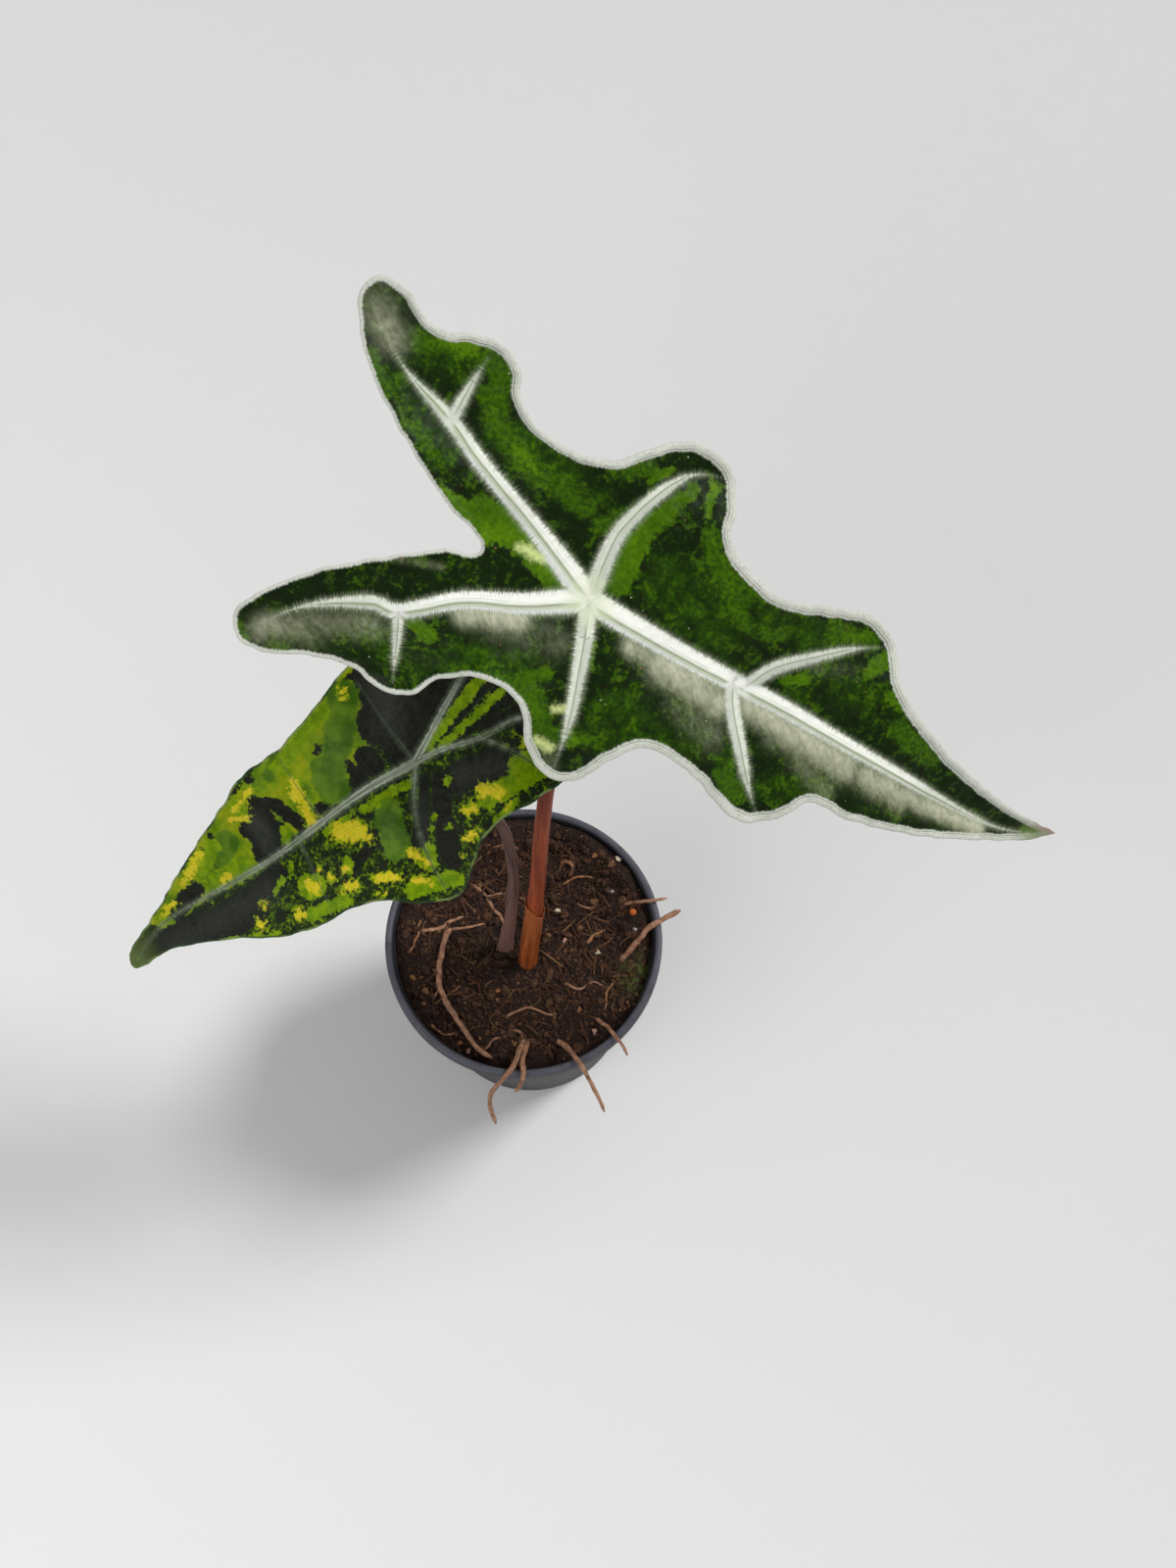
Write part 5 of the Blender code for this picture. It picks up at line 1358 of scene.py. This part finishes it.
class Grower(Tree):
    """A Geometry Nodes tree with named inputs."""

    def __init__(self, name, **inputs):
        super().__init__(bpy.data.node_groups.new(name, "GeometryNodeTree"))
        face = self.group.interface
        face.new_socket("Geometry", in_out="INPUT", socket_type="NodeSocketGeometry")
        face.new_socket("Geometry", in_out="OUTPUT", socket_type="NodeSocketGeometry")
        kinds = {float: "NodeSocketFloat", int: "NodeSocketInt"}
        self.values = {}
        for label, value in inputs.items():
            socket = face.new_socket(label, in_out="INPUT", socket_type=kinds[type(value)])
            self.values[socket.identifier] = value
        self.source = Socket(self, self.group.nodes.new("NodeGroupInput").outputs[0])

    def __getitem__(self, label):
        return self.source.output(label)

    def grow(self, name, base, geometry, finish):
        """The tree's result on a copy of a mesh, as a plain mesh in its finish."""
        real = self.node("GeometryNodeRealizeInstances", {0: geometry})
        made = self.node("GeometryNodeSetMaterial", {"Geometry": real, "Material": finish})
        end = self.group.nodes.new("NodeGroupOutput")
        self.group.links.new(made.link, end.inputs[0])
        carrier = bpy.data.objects.new(name, base)
        bpy.context.scene.collection.objects.link(carrier)
        modifier = carrier.modifiers.new("grow", "NODES")
        modifier.node_group = self.group
        for identifier, value in self.values.items():
            modifier[identifier] = value
        bpy.context.view_layer.update()
        graph = bpy.context.evaluated_depsgraph_get()
        mesh = bpy.data.meshes.new_from_object(carrier.evaluated_get(graph))
        carrier.modifiers.clear()
        carrier.data = mesh
        mesh.name = name
        return carrier


def scattered(grower):
    """Random points on the parts of a surface that face up and lie within reach of the axis."""
    upward = grower.height(grower.node("GeometryNodeInputNormal"))
    place = grower.node("GeometryNodeInputPosition")
    level = grower.node("ShaderNodeVectorMath", {0: place, 1: (1.0, 1.0, 0.0)}, operation="MULTIPLY")
    out = grower.node("ShaderNodeVectorMath", {0: level}, operation="LENGTH", out="Value")
    chosen = upward.maths("GREATER_THAN", 0.5) * out.maths("LESS_THAN", grower["Reach"])
    return grower.node("GeometryNodeDistributePointsOnFaces", {
        "Mesh": grower.source, "Selection": chosen, "Density": grower["Density"],
        "Seed": grower["Seed"]})


def random_value(grower, low, high, shift):
    """A random number or vector for each point; shift tells one draw from another."""
    seed = grower["Seed"] + shift
    if isinstance(low, tuple):
        return grower.node("FunctionNodeRandomValue", {0: low, 1: high, "Seed": seed}, out=0,
                           data_type="FLOAT_VECTOR")
    return grower.node("FunctionNodeRandomValue", {2: low, 3: high, "Seed": seed}, out=1,
                       data_type="FLOAT")


def lump(grower, subdivisions, place):
    """One irregular crumb of radius 1."""
    ball = grower.node("GeometryNodeMeshIcoSphere", {"Radius": 1.0, "Subdivisions": subdivisions})
    spot = grower.node("GeometryNodeInputPosition")
    shifted = grower.node("ShaderNodeVectorMath", {0: spot, 1: place}, operation="ADD")
    uneven = grower.node("ShaderNodeTexNoise", {"Vector": shifted, "Scale": 1.8, "Detail": 2.0})
    normal = grower.node("GeometryNodeInputNormal")
    offset = grower.node("ShaderNodeVectorMath", {0: normal, "Scale": (uneven - 0.5) * 2.0},
                         operation="SCALE")
    return grower.node("GeometryNodeSetPosition", {"Geometry": ball, "Offset": offset})


def placed_copies(grower, shapes, low_scale, high_scale, turn):
    """Random copies of the shapes on the scattered points, each with its own turn, size and chance."""
    points = scattered(grower)
    kinds = grower.node("GeometryNodeGeometryToInstance")
    for shape in reversed(shapes):
        grower.group.links.new(shape.link, kinds.link.node.inputs[0])
    bias = random_value(grower, 0.0, 1.0, 11)
    size = grower["Least"] + (grower["Most"] - grower["Least"]) * bias * bias * bias
    stretch = random_value(grower, low_scale, high_scale, 12)
    scale = grower.node("ShaderNodeVectorMath", {0: stretch, "Scale": size}, operation="SCALE")
    spin = random_value(grower, (-turn, -turn, -math.pi), (turn, turn, math.pi), 13)
    copies = grower.node("GeometryNodeInstanceOnPoints", {
        "Points": points, "Instance": kinds, "Pick Instance": True, "Rotation": spin, "Scale": scale})
    chance = random_value(grower, 0.0, 1.0, 14)
    return grower.node("GeometryNodeStoreNamedAttribute", {
        "Geometry": copies, "Name": "chance", "Value": chance}, data_type="FLOAT", domain="INSTANCE")


def strewn_grower(name, density, least, most, clear, seed):
    """A grower for loose bits on the soil: how many there are to a square millimetre, their
    smallest and largest half size, and how many half sizes clear of the pot they stay."""
    return Grower(name, Density=density / MM ** 2, Least=least * MM, Most=most * MM,
                  Reach=(SOIL_RADIUS - clear * most) * MM, Seed=seed)


def make_crumbs(name, bed, finish, density, least, most, subdivisions, seed):
    """Loose crumbs of soil over the bed."""
    grower = strewn_grower(name, density, least, most, 1.2, seed)
    shapes = [lump(grower, subdivisions, (k * 5.3, k * 1.7, 0.0)) for k in range(5)]
    copies = placed_copies(grower, shapes, (0.7, 0.55, 0.5), (1.4, 1.0, 0.9), math.pi)
    return dress(grower.grow(name, bed, copies, finish), None, "soil")


def make_fibres(name, bed, finish, density, least, most, seed):
    """Short bent fibres of peat and coir lying over the crumbs."""
    grower = strewn_grower(name, density, least, most, 1.3, seed)
    shapes = []
    for bend, lift in ((0.25, 0.10), (-0.35, 0.05), (0.55, 0.14), (0.10, 0.22)):
        curve = grower.node("GeometryNodeCurvePrimitiveBezierSegment", {
            "Resolution": 6, "Start": (-1.0, 0.0, 0.0), "Start Handle": (-0.4, bend, lift),
            "End Handle": (0.4, -bend * 0.6, lift), "End": (1.0, bend * 0.3, 0.0)})
        section = grower.node("GeometryNodeCurvePrimitiveCircle", {"Resolution": 4, "Radius": 0.085})
        shapes.append(grower.node("GeometryNodeCurveToMesh", {
            "Curve": curve, "Profile Curve": section, "Fill Caps": True}))
    copies = placed_copies(grower, shapes, (0.8, 0.6, 0.5), (1.3, 1.1, 1.0), 0.35)
    return dress(grower.grow(name, bed, copies, finish), None, "soil")


def make_chips(finish):
    """Chips of bark, a round grain and other bits on the soil, each a lump with its own tone."""
    bm = bmesh.new()
    tones = []
    for index, (x, y, length, width, turn, tone) in enumerate(CHIPS):
        made = bmesh.ops.create_icosphere(bm, subdivisions=2, radius=1.0)["verts"]
        flatness, ragged = (0.95, 0.0) if tone == ROUND_TONE else (0.42, 0.75)
        thick = 0.5 * min(length, width) * flatness
        middle = Vector((x, y, bed_height(x, y) + 0.2 + thick * 0.4))
        lean = 0.25 * math.sin(index), 0.3 * math.cos(2 * index)
        tilt = Euler((*lean, math.radians(turn))).to_matrix()
        for vert in made:
            push = 1 + ragged * noise.noise(vert.co * 1.7 + Vector((index * 3.7, 0, 0)))
            shaped = Vector((vert.co.x * length / 2, vert.co.y * width / 2, vert.co.z * thick)) * push
            vert.co = (tilt @ shaped + middle) * MM
        tones += [tone] * len(made)
    mesh = bpy.data.meshes.new("soil_chips")
    bm.to_mesh(mesh)
    bm.free()
    mesh.attributes.new("tone", "FLOAT", "POINT").data.foreach_set("value", tones)
    return dress(new_piece("soil_chips", mesh), None, "soil", finish)


def chip_finish():
    f = Finish("soil_chips")
    tone = f.node("ShaderNodeAttribute", out="Fac", attribute_name="tone")
    place = f.place()
    patchy = f.cloud(place, 0.8, 4, 0.65)
    colour = f.ramp(tone, [(0.0, (134, 92, 56)), (0.2, (178, 140, 124)), (0.4, (176, 92, 36)),
                           (0.6, (138, 138, 134)), (0.8, (196, 186, 160))], "CONSTANT")
    colour = f.mix(patchy.step(0.45, 0.70) * 0.6, colour, (58, 38, 26))
    return f.close(colour, 0.75, f.bump(patchy, 0.15), Specular_IOR_Level=0.25)


def laid_tubes(name, routes, finish, slot_name):
    """Thin roots or sticks that wander over the soil, as one piece."""
    points, faces, lays = [], [], []
    for index, (route, radius) in enumerate(routes):
        line = smooth_line(route, 0.9)
        wander = 0.25 * ripple(line, 4.0, 50 + index)
        buried = 1.6 * (1 - np.sin(np.linspace(0, math.pi, len(line))) ** 0.35)
        heights = np.array([bed_height(x, y) for x, y in line]) + radius * 0.6 + 0.2 - buried

        def radius_at(share, angles):
            knobs = 0.12 * np.sin(share * 31 + index) + 0.06 * np.cos(3 * angles)
            return radius * (1 - 0.35 * share) * (1 + knobs)

        spots = np.column_stack([line[:, 0] + wander, line[:, 1], heights])
        mesh = tube("rootlet", spots, radius_at, 10)
        start = len(points)
        points += [tuple(vertex.co / MM) for vertex in mesh.vertices]
        lays += [tuple(item.vector) for item in mesh.attributes["lay"].data]
        faces += [tuple(k + start for k in face.vertices) for face in mesh.polygons]
        bpy.data.meshes.remove(mesh)
    mesh = mesh_of(name, points, faces)
    keep_field(mesh, "lay", lays)
    return dress(new_piece(name, mesh), None, slot_name, finish)


def stage_floor():
    """A pale floor that curves up far away on every side, into a bowl with a brim."""
    profile = [(0, 0)]
    for k in range(FLOOR_STEPS + 1):
        angle = math.pi / 2 * k / FLOOR_STEPS
        out, up = math.sin(angle), 1 - math.cos(angle)
        profile.append((FLOOR_FLAT + BRIM_HEIGHT * out, BRIM_HEIGHT * up))
    mesh = turned("floor", profile, FLOOR_SIDES)
    mesh.flip_normals()
    floor = new_piece("floor", mesh)
    f = Finish("floor_paint")
    place = f.place()
    colour = f.mix(f.cloud(place, 900, 2), (198, 198, 197), (206, 206, 205))
    # The brim shades the bowl on the sun's side, so the paint glows there.
    x = f.node("ShaderNodeSeparateXYZ", {0: place})
    below_brim = (BRIM_HEIGHT - x.output("Z")) / KEY_PLACE[2]
    sunward = f.vector(x + below_brim * KEY_PLACE[0], x.output("Y") + below_brim * KEY_PLACE[1])
    from_axis = f.node("ShaderNodeVectorMath", {0: sunward}, operation="LENGTH", out="Value")
    glow = f.mix(from_axis.step(*BRIM_SHADOW), (0, 0, 0), (166, 166, 166))
    floor.data.materials.append(f.close(colour, 0.9, Emission_Color=glow, Emission_Strength=1.0))


def add_light(name, kind, energy, place, **settings):
    """A lamp that points at the plant."""
    data = bpy.data.lights.new(name, kind)
    data.energy = energy
    for setting, value in settings.items():
        setattr(data, setting, value)
    lamp = bpy.data.objects.new(name, data)
    lamp.location = Vector(place) * MM
    lamp.rotation_euler = (Vector(place) - Vector(LAMPS_AIM)).to_track_quat("Z", "Y").to_euler()
    bpy.context.scene.collection.objects.link(lamp)


def light_the_stage():
    """Soft light from all round, a broad key from the right and behind, and a fill from the left."""
    world = bpy.data.worlds.new("studio")
    world.use_nodes = True
    ground = world.node_tree.nodes["Background"]
    ground.inputs["Color"].default_value = (0.97, 0.98, 1.0, 1)
    ground.inputs["Strength"].default_value = 0.34
    bpy.context.scene.world = world
    add_light("key", "SUN", 2.75, KEY_PLACE, angle=math.radians(KEY_ANGLE))
    add_light("fill", "AREA", 3.6, FILL_PLACE, shape="SQUARE", size=FILL_SIZE * MM)


def set_camera():
    """The photograph's view, from above the front."""
    data = bpy.data.cameras.new("camera")
    data.lens = CAMERA_LENS
    data.sensor_fit = "VERTICAL"
    data.sensor_height = SENSOR_HEIGHT
    data.clip_start = 0.01
    camera = bpy.data.objects.new("camera", data)
    camera.location = Vector(CAMERA_PLACE) * MM
    camera.rotation_euler = (math.radians(CAMERA_TURN), 0, 0)
    bpy.context.scene.collection.objects.link(camera)
    bpy.context.scene.camera = camera


def main():
    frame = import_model()
    set_camera()
    light_the_stage()
    stage_floor()
    bpy.context.scene.view_settings.view_transform = "Standard"

    make_pot(pot_finish())
    bed_finish = soil_finish("soil_bed", (45, 27, 19), (16, 9, 6), (76, 51, 35))
    crumb_finish = soil_finish("soil_crumbs", (70, 42, 30), (25, 15, 10), (114, 82, 55))
    fibre_finish = soil_finish("soil_fibres", (80, 49, 33), (36, 22, 15), (124, 92, 60))
    bed = make_soil(bed_finish).data
    make_crumbs("soil_clods", bed, crumb_finish, 0.17, 0.6, 1.9, 2, 3)
    make_crumbs("soil_grains", bed, crumb_finish, 0.85, 0.25, 0.8, 1, 5)
    make_fibres("soil_fibres", bed, fibre_finish, 0.20, 1.2, 5.0, 8)

    # The red stalk's darker stretch at 166 mm is a painted shadow of the blades above it
    red = stalk_finish("red_stalk", (140, 61, 28), (93, 37, 16), (162, 89, 48),
                       (92, 26, 20), 166)
    brown = stalk_finish("stalk_sheath", (142, 69, 30), (93, 41, 17), (166, 99, 54),
                         (144, 81, 43), SHEATH_TOP)
    mauve = stalk_finish("mauve_stalk", (99, 73, 67), (61, 44, 41), (128, 104, 94),
                         (115, 83, 75), 84)
    make_stalk("stalk_upper", "upper_stalk", UPPER_STALK, UPPER_STALK_RADII, UPPER_LEAF, "red_stalk",
               red, 0.05)
    make_sheath(brown)
    make_stalk("stalk_lower", "lower_stalk", LOWER_STALK, LOWER_STALK_RADII, LOWER_LEAF, "mauve_stalk",
               mauve, 0.10, foot_spread=0.8)

    skin = root_finish("root_skin", (158, 116, 88), (106, 72, 52), (186, 152, 126))
    for index, (name, (route, thick, thin)) in enumerate(ROOTS.items()):
        make_root(name, route, thick, thin, skin, 70 + 3 * index)
    laid_tubes("rootlets", ROOTLETS, skin, "root_skin")
    make_chips(chip_finish())
    laid_tubes("soil_sticks", STICKS, root_finish("soil_sticks", (150, 104, 66), (84, 52, 34),
                                                 (176, 136, 94)), "soil")
    husk = corm_finish()
    for slot in frame["nodes"]["corm"].material_slots:
        slot.material = husk

    make_blade(UPPER_LEAF, "green_leaf", green_leaf_finish(),
               leaf_underside_finish("green_leaf_underside", (70, 52, 52), (92, 50, 60),
                                     (150, 160, 110)))
    make_blade(LOWER_LEAF, "mottled_leaf", mottled_leaf_finish(),
               leaf_underside_finish("mottled_leaf_underside", (96, 104, 62), (104, 74, 66),
                                     (160, 166, 120)))

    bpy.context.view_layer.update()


main()
